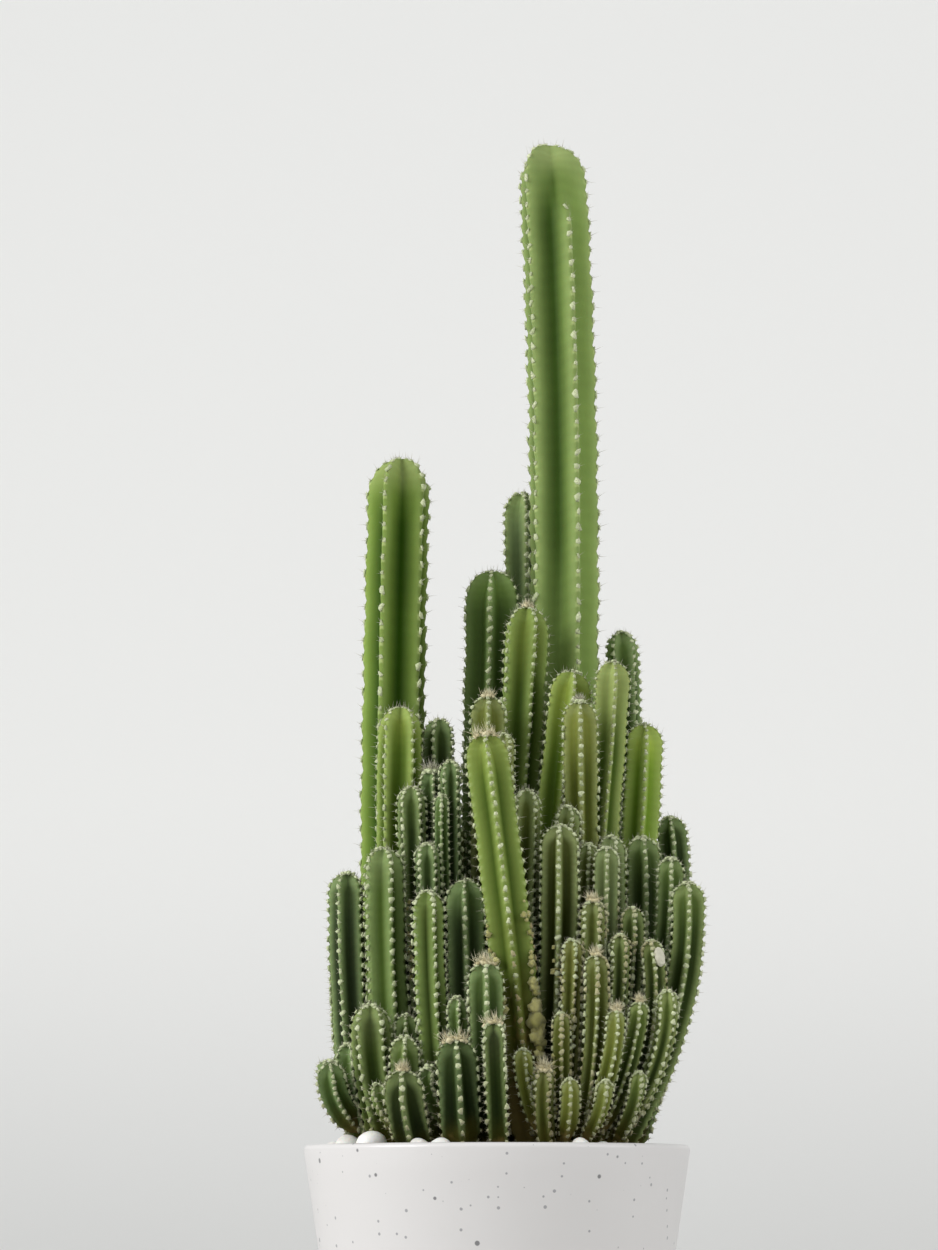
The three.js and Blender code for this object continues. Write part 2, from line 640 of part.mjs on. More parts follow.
function pebble({ x, y, radius, flatness }) {
  const shape = new THREE.IcosahedronGeometry(radius, 0);
  shape.rotateX(draw() * Math.PI).rotateZ(draw() * Math.PI).scale(1, 1, flatness);
  return solidFromGeometry(shape.translate(x, y, SOIL_TOP + GAP + flatness * radius));
}

function pebblePlaces(rim) {
  const places = FRONT_PEBBLES.map((place) => ({ ...place, flatness: FRONT_FLATNESS }));
  for (let i = 0; i < PEBBLES_ROUND; i += 1) {
    const radius = PEBBLE_RADIUS * (PEBBLE_LEAST + (1 - PEBBLE_LEAST) * draw());
    const out = rim - radius - PEBBLE_TO_WALL - draw();
    const [x, y] = around(out, ((i + PEBBLE_SCATTER * draw()) * 2 * Math.PI) / PEBBLES_ROUND);
    const isTaken = FRONT_PEBBLES.some(
      (front) => Math.hypot(x - front.x, y - front.y) < radius + PEBBLE_SPACING * front.radius,
    );
    if (!isTaken) places.push({ x, y, radius, flatness: PEBBLE_FLATNESS });
  }
  return places;
}

function pebbleBed() {
  const [low, high] = [SOIL_TOP, SOIL_TOP + BED_THICKNESS];
  const rim = insideAt(low) - 2 * GAP;
  const section = [[BED_INNER, low], [rim, low], [rim, high], [BED_INNER, high], [BED_INNER, low]];
  let bed = turned(section, BED_SIDES);
  for (const place of pebblePlaces(rim)) {
    const sizes = PEBBLE_SIZES.map((share) => place.radius * share);
    const radius = sizes.find((size) => hasRoom(place.x, place.y, SOIL_TOP + size, size));
    if (radius) bed = bed.add(pebble({ ...place, radius }));
  }
  return bed;
}

const group = new THREE.Group();

function addMesh(name, solid, colour, roughness) {
  const { vertProperties, triVerts } = solid.getMesh();
  const geometry = new THREE.BufferGeometry();
  geometry.setAttribute("position", new THREE.BufferAttribute(new Float32Array(vertProperties), 3));
  geometry.setIndex(new THREE.BufferAttribute(new Uint32Array(triVerts), 1));
  geometry.computeVertexNormals();
  const material = new THREE.MeshStandardMaterial({ color: colour, roughness, metalness: 0 });
  const mesh = new THREE.Mesh(geometry, material);
  mesh.name = name;
  group.add(mesh);
}

addMesh("pot", pot(), CERAMIC, 0.45);
addMesh("soil", soil(), EARTH, 0.95);
addMesh("pebbles", pebbleBed(), WHITE_STONE, 0.6);

// Each plant is one solid, with its shoots fused to the stem that they grow out of.
PLANTS.forEach((plant, index) => {
  const solids = STEMS.filter((stem) => stem.plant === index).map((stem) => solidFrom(stemSkin(stem)));
  const fused = solids.reduce((sum, solid) => sum.add(solid));
  addMesh(plant.name, largestBody(fused), plant.colour, 0.55);
});

export default group;
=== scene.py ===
# %% [markdown]
# A potted triangle cactus
#
# The object is a crowded clump of columnar cactus stems in a round white pot. One stem is far taller than the
# rest, and small ones fan out over the rim. Every stem is a ribbed column, and along each rib runs a row of
# areoles, the small woolly cushions that a cactus grows its spines from.
#
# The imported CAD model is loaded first. It holds each stem, the pot, the soil and the pebbles as plain faceted
# solids at their real size, and it stays fixed. Every piece made below takes its place from it.

# %% Load the fixed frame
import json
import math

import bpy
import numpy as np
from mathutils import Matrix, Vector, noise as cloud

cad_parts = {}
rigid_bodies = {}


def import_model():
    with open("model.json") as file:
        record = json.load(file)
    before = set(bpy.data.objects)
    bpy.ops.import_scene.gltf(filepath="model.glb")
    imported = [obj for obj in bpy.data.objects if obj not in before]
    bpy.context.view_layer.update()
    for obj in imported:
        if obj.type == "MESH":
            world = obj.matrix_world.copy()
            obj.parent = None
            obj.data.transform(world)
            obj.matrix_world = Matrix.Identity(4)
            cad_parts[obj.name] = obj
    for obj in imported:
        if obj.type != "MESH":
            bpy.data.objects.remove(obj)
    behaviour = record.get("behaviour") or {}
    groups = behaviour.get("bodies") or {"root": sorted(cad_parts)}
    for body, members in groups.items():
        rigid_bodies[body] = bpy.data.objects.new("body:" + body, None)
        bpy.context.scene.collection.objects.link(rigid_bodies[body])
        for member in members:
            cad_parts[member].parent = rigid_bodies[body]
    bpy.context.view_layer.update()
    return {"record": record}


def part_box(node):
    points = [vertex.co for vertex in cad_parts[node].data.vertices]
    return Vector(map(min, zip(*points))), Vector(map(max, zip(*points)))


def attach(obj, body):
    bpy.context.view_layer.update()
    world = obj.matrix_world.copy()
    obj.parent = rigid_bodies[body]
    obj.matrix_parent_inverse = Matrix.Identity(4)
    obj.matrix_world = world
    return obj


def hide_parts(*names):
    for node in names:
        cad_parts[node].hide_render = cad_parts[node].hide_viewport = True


for leftover in list(bpy.data.objects):
    bpy.data.objects.remove(leftover)
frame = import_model()
SLOT_OF = {row["node"]: row["material_slot"] for row in frame["record"]["subparts"]}
MM = 0.001

# %% [markdown]
# The photograph looks slightly up at the plant from just below the height of the pot's rim. A camera with a
# long lens stands 1.6 m in front of it and is pitched up by the same angle.

# %% Camera
CAMERA_PLACE = (-15.4, -1600, 155)
CAMERA_PITCH = math.radians(11.196)
CAMERA_LENS = 82.44
SENSOR = 36

camera = bpy.data.objects.new("camera", bpy.data.cameras.new("camera"))
bpy.context.scene.collection.objects.link(camera)
camera.location = Vector(CAMERA_PLACE) * MM
camera.rotation_euler = (math.pi / 2 + CAMERA_PITCH, 0, 0)
camera.data.sensor_fit = "AUTO"
camera.data.sensor_width = SENSOR
camera.data.lens = CAMERA_LENS
bpy.context.scene.camera = camera
print("camera looks up by", round(math.degrees(CAMERA_PITCH), 1), "degrees")

# %% [markdown]
# Three helpers are used all through the lesson. Operators act on whatever is selected, so everything is
# deselected before a primitive is added. Colours are written as the 0 to 255 values that a paint program
# shows, and turned into the linear values that Blender's shaders want.

# %% Helpers
def start_clean():
    """Leaves edit mode and deselects everything."""
    if bpy.context.object and bpy.context.object.mode != "OBJECT":
        bpy.ops.object.mode_set(mode="OBJECT")
    bpy.ops.object.select_all(action="DESELECT")


def choose(*pieces):
    """Selects these pieces and makes the first one active."""
    start_clean()
    for piece in pieces:
        piece.select_set(True)
    bpy.context.view_layer.objects.active = pieces[0]


def paint(red, green, blue):
    """A colour from its 0 to 255 values."""
    shares = np.array([red, green, blue]) / 255
    linear = np.where(shares <= 0.04045, shares / 12.92, ((shares + 0.055) / 1.055) ** 2.4)
    return (*linear.tolist(), 1.0)


# %% [markdown]
# A material is a small network of nodes. This helper makes the nodes, sets the values on their sockets and
# joins them up, so that each finish further down reads as a list of what it is made of.

# %% A helper for materials
class Finish:
    """A material under construction, with a shader whose sockets are set by name."""

    def __init__(self, name, roughness):
        self.material = bpy.data.materials.new(name)
        self.material.use_nodes = True
        self.nodes = self.material.node_tree.nodes
        self.shader = self.nodes["Principled BSDF"]
        self.set(self.shader, {"Roughness": roughness})
        self.place = self.add("ShaderNodeTexCoord").outputs["Object"]

    def set(self, node, values):
        """Sets or links each named input of a node."""
        for name, value in values.items():
            socket = node.inputs[name]
            if isinstance(value, bpy.types.NodeSocket):
                self.material.node_tree.links.new(value, socket)
            else:
                socket.default_value = value

    def add(self, kind, settings=None, **inputs):
        """Adds a node. settings are its own options, and inputs are its sockets."""
        node = self.nodes.new(kind)
        for name, value in (settings or {}).items():
            setattr(node, name, value)
        self.set(node, inputs)
        return node

    def step(self, operation, first, second=0.0, clamp=False):
        """One step of arithmetic."""
        node = self.add("ShaderNodeMath", {"operation": operation, "use_clamp": clamp})
        self.set(node, {0: first, 1: second})
        return node.outputs[0]

    def times(self, first, second, clamp=False):
        return self.step("MULTIPLY", first, second, clamp)

    def plus(self, first, second):
        return self.step("ADD", first, second)

    def less(self, first, second, clamp=False):
        return self.step("SUBTRACT", first, second, clamp)

    def mix(self, share, first, second, blend="MIX"):
        """Mixes two colours by a share."""
        node = self.add("ShaderNodeMix", {"data_type": "RGBA", "blend_type": blend})
        self.set(node, {0: share, 6: first, 7: second})
        return node.outputs[2]

    def scaled(self, colour, share):
        """Makes a colour lighter or darker."""
        node = self.add("ShaderNodeVectorMath", {"operation": "SCALE"})
        self.set(node, {0: colour, "Scale": share})
        return node.outputs[0]

    def between(self, value, low, high):
        """0 below low, 1 above high, and smooth in between."""
        node = self.add("ShaderNodeMapRange", {"interpolation_type": "SMOOTHSTEP"})
        self.set(node, {"Value": value, "From Min": low, "From Max": high})
        return node.outputs["Result"]

    def noise(self, scale, detail, stretch=(1, 1, 1)):
        """Cloudy noise on the piece's own place, from 0 to 1."""
        mapping = self.add("ShaderNodeMapping", Vector=self.place, Scale=stretch)
        node = self.add("ShaderNodeTexNoise", Vector=mapping.outputs[0], Scale=scale, Detail=detail)
        return node.outputs["Fac"]

    def cells(self, scale):
        """A Voronoi pattern: the distance to the nearest point, and a random colour for it."""
        return self.add("ShaderNodeTexVoronoi", Vector=self.place, Scale=scale).outputs

    def reading(self, name):
        """A number that the mesh carries at each vertex."""
        return self.add("ShaderNodeAttribute", {"attribute_name": name}).outputs["Fac"]

    def relief(self, height, depth, strength):
        """A bump as deep as depth, in metres."""
        node = self.add("ShaderNodeBump", Height=height, Distance=depth, Strength=strength)
        self.set(self.shader, {"Normal": node.outputs[0]})


print("middle grey in linear values", round(paint(128, 128, 128)[0], 3))

# %% [markdown]
# The room is plain: a pale floor that runs up into a pale wall far behind, and soft pale light from the sky.
# The wall and the far floor glow a little, so that they stay as pale as in the photograph. A large soft lamp
# stands in front on the left, where the photograph's daylight comes from, and a weaker one fills the right.

# %% Floor and wall
FLOOR_REACH = 5.0
WALL_BEHIND = 4.2
WALL_HEIGHT = 5.0
EDGE_MARGIN = 0.01
COVE_RADIUS = 0.9
COVE_STEPS = 24
ROOM_GLOW = 0.28
GLOW_DISTANCES = (0.8, 3.6)
GLOW_HEIGHTS = (-0.4, 1.0)


def room():
    """A floor whose back edge is raised into a wall, with a rounded cove between them."""
    start_clean()
    bpy.ops.mesh.primitive_plane_add(size=2 * FLOOR_REACH, location=(0, WALL_BEHIND - FLOOR_REACH, 0))
    floor = bpy.context.object
    floor.name = "floor_and_wall"
    bpy.ops.object.transform_apply(location=True)
    bpy.ops.object.mode_set(mode="EDIT")
    bpy.ops.mesh.select_all(action="DESELECT")
    bpy.ops.object.mode_set(mode="OBJECT")
    for edge in floor.data.edges:
        edge.select = all(floor.data.vertices[v].co.y > WALL_BEHIND - EDGE_MARGIN for v in edge.vertices)
    bpy.ops.object.mode_set(mode="EDIT")
    bpy.ops.mesh.select_mode(type="EDGE")
    bpy.ops.mesh.extrude_edges_move(TRANSFORM_OT_translate={"value": (0, 0, WALL_HEIGHT)})
    bpy.ops.object.mode_set(mode="OBJECT")
    cove = floor.modifiers.new("cove", "BEVEL")
    cove.width = COVE_RADIUS
    cove.segments = COVE_STEPS
    bpy.ops.object.modifier_apply(modifier="cove")
    bpy.ops.object.shade_smooth()
    floor.data.materials.append(room_finish())
    return floor


def room_finish():
    """Plain paint that glows a little, high up and far from the plant."""
    finish = Finish("pale_room", 0.9)
    away = finish.add("ShaderNodeVectorMath", {"operation": "LENGTH"}, Vector=finish.place).outputs["Value"]
    height = finish.add("ShaderNodeSeparateXYZ", Vector=finish.place).outputs["Z"]
    share = finish.times(finish.between(away, *GLOW_DISTANCES), finish.between(height, *GLOW_HEIGHTS))
    glow = finish.mix(share, paint(0, 0, 0), paint(250, 250, 248))
    finish.set(finish.shader, {"Base Color": paint(214, 214, 212), "Emission Color": glow})
    finish.set(finish.shader, {"Emission Strength": ROOM_GLOW})
    return finish.material


print("stage", room().name)

# %% Light
SKY_STRENGTH = 0.84
PLANT_MIDDLE = (0, 0, 0.4)
LAMP_SIZE = 1.5
LAMPS = {"window": ((-1.9, -0.9, 1.35), 40), "room": ((1.9, -0.8, 1.1), 12)}


def lamp(name, place, power):
    """A large soft disc of light that is aimed at the middle of the plant."""
    light = bpy.data.objects.new(name, bpy.data.lights.new(name, "AREA"))
    bpy.context.scene.collection.objects.link(light)
    light.location = place
    light.rotation_mode = "QUATERNION"
    light.rotation_quaternion = (Vector(PLANT_MIDDLE) - Vector(place)).to_track_quat("-Z", "Y")
    light.data.shape = "DISK"
    light.data.size = LAMP_SIZE
    light.data.energy = power


for lamp_name, (lamp_place, lamp_power) in LAMPS.items():
    lamp(lamp_name, lamp_place, lamp_power)
sky = bpy.data.worlds.new("sky")
sky.use_nodes = True
sky.node_tree.nodes["Background"].inputs["Color"].default_value = paint(242, 243, 244)
sky.node_tree.nodes["Background"].inputs["Strength"].default_value = SKY_STRENGTH
bpy.context.scene.world = sky
bpy.context.scene.view_settings.view_transform = "Standard"

# %% [markdown]
# Where the stems stand
#
# Each row is one stem that stands in the soil, with the shoots that grow from its foot. The first numbers are
# the driving sizes in millimetres: the growing tip, the radius, the angle in degrees by which one rib is
# turned from the front, and the foot. Then comes the tone, from 0, deep blue-green, to 1, fresh yellow-green.
# A shoot has no foot or tone of its own. A knee bends the line between foot and tip, and pitch is the space
# between areoles. Stems have five ribs unless ribs says otherwise, and a late rib first appears that far
# below the tip.
#
# The other words are looks. shade is how light the skin is: partly each stem's own lightness and partly
# painted shade, lower for the stems deep inside the clump. sun is painted light that makes
# the skin lighter on the right, and darker there where it is below 0. lit is how much
# of the painted furrow shade is taken away on the right. depth is how dark the painted shade in the furrows
# is, and worn gives the lengths between which it comes on. bloom and veil are the waxy
# powder on the crests and all over. band is the width of the pale crest, young how far the young tip reaches
# down, brown how far the old foot reaches up, tuft the size of the tufts, and dry how withered they are.
# crown is the colour of a burst of spines on the tip, and crown_size its size.

# %% Sizes of the stems
SOIL_TOP = 171
STUB_DEPTH = 9
NECK_SHARE = 0.5
NECK_LENGTH = 12
NECK_LENGTH_SHARE = 0.8
LEVEL_FOOT_SHARE = 1.5
DOME_SHARE = 1.25
FURROW_SHARE = 0.54
FOOT_FULLNESS = 0.93
TOOTH_HEIGHT = 0.35
TOOTH_HEIGHT_SHARE = 0.05


def stem(node, tip, radius, turn, foot, tone, **more):
    """A stem that stands in the soil."""
    named = {"tip": tip, "radius": radius, "turn": turn, "foot": foot, "tone": tone}
    return {"node": "stem_" + node, **named, **more}


def shoot(tip, radius, turn, start, **more):
    """A shoot of the stem in whose row it stands. It starts that far above the soil."""
    return {"tip": tip, "radius": radius, "turn": turn, "start": start, **more}


def fan_stem(*sizes, **more):
    """A stem of the fan at the right, where the crests are dull and the tufts large and withered."""
    return stem(*sizes, **{"bloom": 0.5, "tuft": 1.05, "dry": 0.6, **more})


PLANTS = [
    stem("tallest", (33, 66, 787), 21, 24, (42, 54), 0.4, knee=(48, 62), pitch=9.2, late={0: 26},
         shade=1.18, sun=0.2, lit=0.85, depth=0.9, worn=(270, 380), bloom=0.45, veil=0.6, band=1.15),
    stem("second", (-55, 47, 583), 18.6, -26, (-56, 38), 0.45, pitch=10.2, shade=1.07, sun=-0.22, depth=1.0,
         bloom=0.1),
    stem("before_second", (-53, 12, 427), 13, -36, (-48, 10), 0.3, shade=0.74, bloom=0.9, tuft=0.8),
    stem("left_wide", (-62, -27, 341), 11.3, 24, (-52, -22), 0.2, shade=0.63, depth=0.3, bloom=0.5,
         band=1.35),
    stem("left_slim", (-48, -11, 377), 8, 36, (-38, -8), 0.35, shade=0.8, dry=0.5),
    stem("left_low", (-67, -50, 254), 11, -36, (-54, -40), 0.4, shade=0.34, bloom=0.5),
    stem("left_outer", (-83, -14, 329), 10.2, -24, (-70, -10), 0.2, shade=0.5, veil=0.3),
    stem("left_corner", (-81, -34, 234), 7.6, 10, (-67, -28), 0.1, shade=0.92,
         shoots=[shoot((-87, -49, 223), 7.8, 20, 14)]),
    stem("front_left", (-51, -75, 218), 10.5, -5, (-43, -62), 0.45, shade=0.25, bloom=0.5, crown="tan",
         crown_size=0.6,
         shoots=[shoot((-63, -64, 211), 5, -30, 10, ribs=4), shoot((-51, -57, 236), 8, 0, 10)]),
    stem("front_left_back", (-50, -41, 249), 6, 0, (-42, -40), 0.3, shade=0.8),
    stem("front_bright", (-38, -50, 315), 8.6, 25, (-28, -48), 0.05, shade=0.28, depth=0.3, bloom=0.5,
         band=1.4),
    stem("front_dark", (-18, -28, 323), 10.8, -4, (-12, -28), 0.15, shade=0.84, depth=0.8, veil=0.3),
    stem("front_middle", (-24, -75, 234), 10.8, 5, (-20, -65), 0.15, shade=0.34, depth=0.8, bloom=0.35,
         crown="tan", shoots=[shoot((-37, -66, 220), 5, 20, 12, ribs=4)]),
    stem("front_four", (-4, -76, 242), 7, 45, (-1, -68), 0.3, ribs=4, shade=0.16, bloom=0.35, crown="tan"),
    stem("front_crowned", (-7, -58, 275), 9.3, 2, (-4, -50), 0.2, shade=0.76, crown="tan",
         shoots=[shoot((-22, -57, 257), 5.3, 10, 20)]),
    stem("inner_left", (-37, -23, 343), 6.9, 34, (-28, -22), 0.15, shade=0.55),
    stem("inner_dark", (-38, 3, 388), 6.5, 12, (-28, 4), 0.05, pitch=5.5, shade=0.55, crown="cream"),
    stem("inner_front", (-29, -9, 392), 5.9, 40, (-19, -9), 0.1, pitch=5.4, shade=0.55,
         shoots=[shoot((-31, -18, 371), 3.6, 0, 30, ribs=4)]),
    stem("inner_back", (-33, 28, 422), 8.9, -20, (-26, 24), 0.2, pitch=5.9, shade=0.55),
    stem("leaning", (-7, -44, 402), 12.3, 2, (30, -50), 0.35, knee=(11, -47), shade=0.72, depth=0.6,
         bloom=0.5, band=1.5, brown=150, tuft=0.8, dry=0.9, crown="tan"),
    stem("centre_olive", (-4, 5, 432), 9.9, 0, (-2, 6), 0.6, shade=0.96, crown="tan", crown_size=0.6,
         shoots=[shoot((4, -10, 407), 5.6, 30, 25)]),
    stem("centre_tall", (-1, 70, 519), 15.6, -5, (-4, 60), 0.25, shade=1.75, depth=0.6, bloom=0.3),
    stem("back_tall", (16, 93, 573), 12, 10, (14, 74), 0.4, pitch=6.6, shade=1.72, bloom=1.0, veil=1.3),
    stem("centre_fresh", (26, 38, 489), 12.9, 24, (16, 36), 0.2, shade=0.52, bloom=0.4, band=1.2, young=62,
         tuft=0.8, crown="tan", crown_size=0.45),
    stem("centre_leaning", (43, 25, 449), 12.3, 10, (24, 10), 0.35, knee=(29, 20), shade=0.78, young=60,
         tuft=0.8),
    stem("centre_brown", (45, 2, 427), 9.7, 0, (40, 2), 0.7, shade=1.26, young=50, crown="cream",
         crown_size=0.5),
    stem("right_tall", (66, 8, 453), 10, 10, (46, 16), 0.65, knee=(59, 10), shade=0.93, band=1.2, young=60,
         tuft=0.8),
    stem("right_hidden", (73, 66, 482), 9.6, -36, (57, 60), 0.2, pitch=6.2, shade=1.25),
    stem("right_bright", (84, 22, 419), 10.9, 5, (52, 22), 0.3, knee=(76, 22), shade=1.53, sun=0.15,
         lit=0.5, bloom=0.8, band=1.3, tuft=0.8),
    stem("right_outer", (99, 40, 367), 9, 0, (60, 38), 0.2, shade=0.43),
    stem("centre_grey", (16, -21, 374), 8.3, 36, (20, -20), 0.35, shade=0.7),
    stem("dotted", (35, -32, 352), 10.4, -6, (31, -32), 0.45, pitch=4.9, shade=0.42, bloom=1.0, tuft=1.0),
    stem("dotted_back", (45, -14, 365), 7, 20, (37, -12), 0.3, pitch=4.8, shade=0.75, tuft=0.95),
    stem("dotted_side", (49, -20, 343), 5.6, 0, (44, -18), 0.3, pitch=4.8, shade=0.75, tuft=0.95, dry=0.6),
    stem("right_grey", (57, -30, 340), 6.6, 0, (43, -28), 0.25, pitch=4.8, shade=0.8, bloom=1.0, veil=0.8,
         tuft=0.95, dry=0.6),
    stem("right_grey_back", (63, -13, 349), 7.8, 20, (52, -12), 0.2, pitch=4.9, shade=0.8, bloom=1.0,
         veil=0.6, tuft=0.95),
    stem("right_pair", (81, -9, 350), 9.7, 8, (56, -12), 0.3, shade=0.8,
         shoots=[shoot((96, -21, 336), 7.1, 0, 18)]),
    fan_stem("fan_olive", (41, -54, 288), 5.4, 20, (39, -50), 0.95, shade=0.7),
    fan_stem("fan_front", (52, -66, 279), 6.2, 0, (43, -62), 0.65, shade=0.65, crown="tan", crown_size=0.7,
             shoots=[shoot((62, -77, 249), 4.8, 10, 12, ribs=4, crown="tan", crown_size=0.7),
                     shoot((56, -84, 212), 4.3, 10, 8, ribs=4)]),
    fan_stem("fan_low", (34, -68, 248), 4.4, 0, (37, -66), 0.75, ribs=4, shade=0.67,
             shoots=[shoot((37, -80, 213), 4.7, 0, 8, ribs=4)]),
    fan_stem("fan_corner", (24, -76, 219), 5.8, 30, (29, -68), 0.8, shade=0.62, crown="tan",
             shoots=[shoot((14, -68, 229), 4.8, 10, 10, ribs=4)]),
    fan_stem("fan_back", (52, -47, 310), 6.8, 30, (44, -42), 0.5, shade=0.63, bloom=0.55, crown="tan",
             crown_size=0.7),
    stem("fan_curved", (103, -34, 321), 8.8, 0, (46, -30), 0.5, knee=(105, -36), shade=0.91),
    fan_stem("fan_inner", (73, -36, 307), 6.3, 10, (50, -36), 0.55, shade=0.58, bloom=0.55),
    fan_stem("fan_middle", (66, -53, 291), 5.4, 30, (49, -53), 0.7, shade=0.62,
             shoots=[shoot((76, -70, 254), 4.8, 0, 12, ribs=4, crown="tan", crown_size=0.5)]),
    fan_stem("fan_outer", (82, -50, 288), 5.7, 0, (54, -46), 0.75, shade=0.57, bloom=0.55,
             shoots=[shoot((89, -63, 260), 5.6, 30, 16), shoot((72, -65, 217), 4.3, 20, 8, ribs=4)]),
    stem("back_left", (-62, 80, 332), 10.4, 180, (-50, 62), 0.5, pitch=6.3, shade=0.8,
         shoots=[shoot((-78, 68, 252), 6.4, 150, 14)]),
    stem("side_left", (-82, 24, 296), 9.4, -90, (-70, 16), 0.3, pitch=6.2, shade=0.8),
    stem("back_left_low", (-36, 90, 286), 9.2, 200, (-28, 70), 0.5, pitch=6.1, shade=0.8,
         shoots=[shoot((-48, 98, 226), 5.6, 180, 12)]),
    stem("back_inner", (-24, 52, 366), 8.6, 170, (-24, 46), 0.4, pitch=6.0, shade=0.8),
    stem("back_middle", (-10, 98, 262), 8.4, 190, (-8, 76), 0.7, pitch=6.0, shade=0.8,
         shoots=[shoot((-22, 102, 216), 5, 180, 10, ribs=4)]),
    stem("back_right_low", (45, 102, 264), 8.4, 160, (38, 77), 0.3, pitch=6.0, shade=0.8),
    stem("back_right", (68, 88, 352), 10, 150, (52, 70), 0.45, pitch=6.3, shade=0.8,
         shoots=[shoot((80, 82, 246), 6.2, 140, 12)]),
    stem("side_right", (96, 60, 316), 9, 110, (58, 54), 0.35, pitch=6.1, shade=0.8),
]
print("plants", len(PLANTS), "shoots", sum(len(plant.get("shoots", [])) for plant in PLANTS))

# %% [markdown]
# Crowded stems lean apart until each has room for its ribs. The CAD model works that out by a rule, so the
# same rule is repeated here, and each fine stem then stands exactly where its solid does. All stems are kept
# as rows of arrays, so that every pair at every level is weighed in one go.

# %% Stems as arrays
rows = []
for number, plant in enumerate(PLANTS):
    main = len(rows)
    for row in [plant, *plant.get("shoots", [])]:
        rows.append({
            "ribs": 5, "start": 0, "foot": (0, 0), "knee": row["tip"][:2], **row,
            "plant": number, "main": main, "is_shoot": row is not plant, "tone": plant["tone"],
        })

COUNT = len(rows)
plant_of, main_of, is_shoot = (np.array([row[key] for row in rows]) for key in ("plant", "main", "is_shoot"))
radius_of = np.array([row["radius"] for row in rows], float)
foot_of, knee_of = (np.array([row[key] for row in rows], float) for key in ("foot", "knee"))
low_of = SOIL_TOP + np.array([row["start"] for row in rows], float)
tip_of = np.array([row["tip"][:2] for row in rows], float)
high_of = np.array([row["tip"][2] for row in rows], float)
print("stems and shoots", COUNT)


# %% The shape of one stem
def smooth(x):
    """0 below 0, 1 above 1, and smooth in between."""
    t = np.clip(x, 0, 1)
    return t * t * (3 - 2 * t)


def neck_length(radius):
    """How far up its narrow neck reaches."""
    return NECK_LENGTH + NECK_LENGTH_SHARE * radius


def tooth_height(radius):
    """How far a rib swells out below an areole."""
    return TOOTH_HEIGHT + TOOTH_HEIGHT_SHARE * radius


def width_share(along, length, radius):
    """The share of its radius that a stem has: a narrow neck, a full body and a domed tip."""
    neck = NECK_SHARE + (1 - NECK_SHARE) * smooth(along / neck_length(radius))
    dome = DOME_SHARE * radius
    past = np.maximum(0, along - (length - dome)) / dome
    body = FOOT_FULLNESS + (1 - FOOT_FULLNESS) * smooth(2 * along / length)
    return neck * body * np.sqrt(np.maximum(0, 1 - past * past))


def curve_through(foot, knee, tip, t):
    """A place in plan on the curve through foot, knee and tip."""
    return (1 - t) ** 2 * foot + 2 * t * (1 - t) * knee + t**2 * tip


def feet():
    """Each stem's foot in plan. A shoot's foot is a point inside the stem that it grows from."""
    share = ((low_of - SOIL_TOP) / (high_of[main_of] - SOIL_TOP))[:, None]
    on_main = curve_through(foot_of[main_of], knee_of[main_of], tip_of[main_of], share)
    return np.where(is_shoot[:, None], on_main, foot_of)


# %% Lean the stems apart
BED_INNER = 84
BED_CLEARANCE = 6.5
NECK_REACH = 0.6
ROUNDS = 180
LEVEL = 12
ROOM = 0.5
SIDE_SHARE = 0.2
DEPTH_SHARE = 0.5
KIN_SHARE = 0.45
EASE = 1.6
SLOPE_STEP = 0.02

levels = np.arange(SOIL_TOP + LEVEL / 2, high_of.max(), LEVEL)
height_of = high_of - low_of
t_at = (levels[:, None] - low_of) / height_of
stands_at = (t_at > 0) & (t_at < 1)
reach_of = radius_of * width_share(t_at * height_of, height_of, radius_of) + tooth_height(radius_of)
pair_stands = stands_at[:, :, None] & stands_at[:, None, :]
same_plant = plant_of[:, None] == plant_of
young_kin = same_plant & (np.minimum(t_at[:, :, None], t_at[:, None, :]) < KIN_SHARE)
pair_counts = pair_stands & ~young_kin & ~np.eye(COUNT, dtype=bool)
upper = smooth(t_at[:, :, None] + t_at[:, None, :])
blend = [((1 - t_at) ** 2), (2 * t_at * (1 - t_at)), t_at**2]
foot_limit = BED_INNER - BED_CLEARANCE - NECK_REACH * radius_of

for _ in range(ROUNDS):
    starts = feet()
    here, ahead = (
        [curve_through(starts[:, axis], knee_of[:, axis], tip_of[:, axis], t) for axis in (0, 1)]
        for t in (t_at, t_at + SLOPE_STEP)
    )
    rise_step = SLOPE_STEP * height_of
    lean = np.sqrt((ahead[0] - here[0]) ** 2 + (ahead[1] - here[1]) ** 2 + rise_step**2) / rise_step
    reach = reach_of * lean
    dx, dy = (here[axis][:, None, :] - here[axis][:, :, None] for axis in (0, 1))
    apart = np.hypot(dx, dy)
    room_needed = reach[:, :, None] + reach[:, None, :] + ROOM
    crowded = pair_counts & (apart < room_needed)
    apart = np.where(apart == 0, 1, apart)
    short = (room_needed - apart) / 2
    deeper = (np.sqrt(np.maximum(0, room_needed**2 - dx * dx)) - np.abs(dy)) / 2
    straight = [short * dx / apart, short * dy / apart]
    in_depth = [SIDE_SHARE * straight[0], DEPTH_SHARE * np.sign(dy) * deeper]
    count = np.maximum(1, crowded.sum(axis=(0, 2)))
    ease = EASE / np.sqrt(count)
    for axis in (0, 1):
        push = np.where(crowded, straight[axis] + upper * (in_depth[axis] - straight[axis]), 0).sum(axis=2)
        foot_of[:, axis] -= ease * (push * blend[0] * stands_at).sum(axis=0)
        knee_of[:, axis] -= ease * (push * blend[1] * stands_at).sum(axis=0)
        tip_of[:, axis] -= ease * (push * blend[2] * stands_at).sum(axis=0)
    out = np.hypot(foot_of[:, 0], foot_of[:, 1])
    pull = np.where(out > foot_limit, foot_limit / np.maximum(out, 1e-9), 1)
    foot_of *= pull[:, None]
foot_of = feet()
moved = np.linalg.norm(tip_of - [row["tip"][:2] for row in rows], axis=1)
print("tips moved by up to", round(float(moved.max()), 1), "mm")

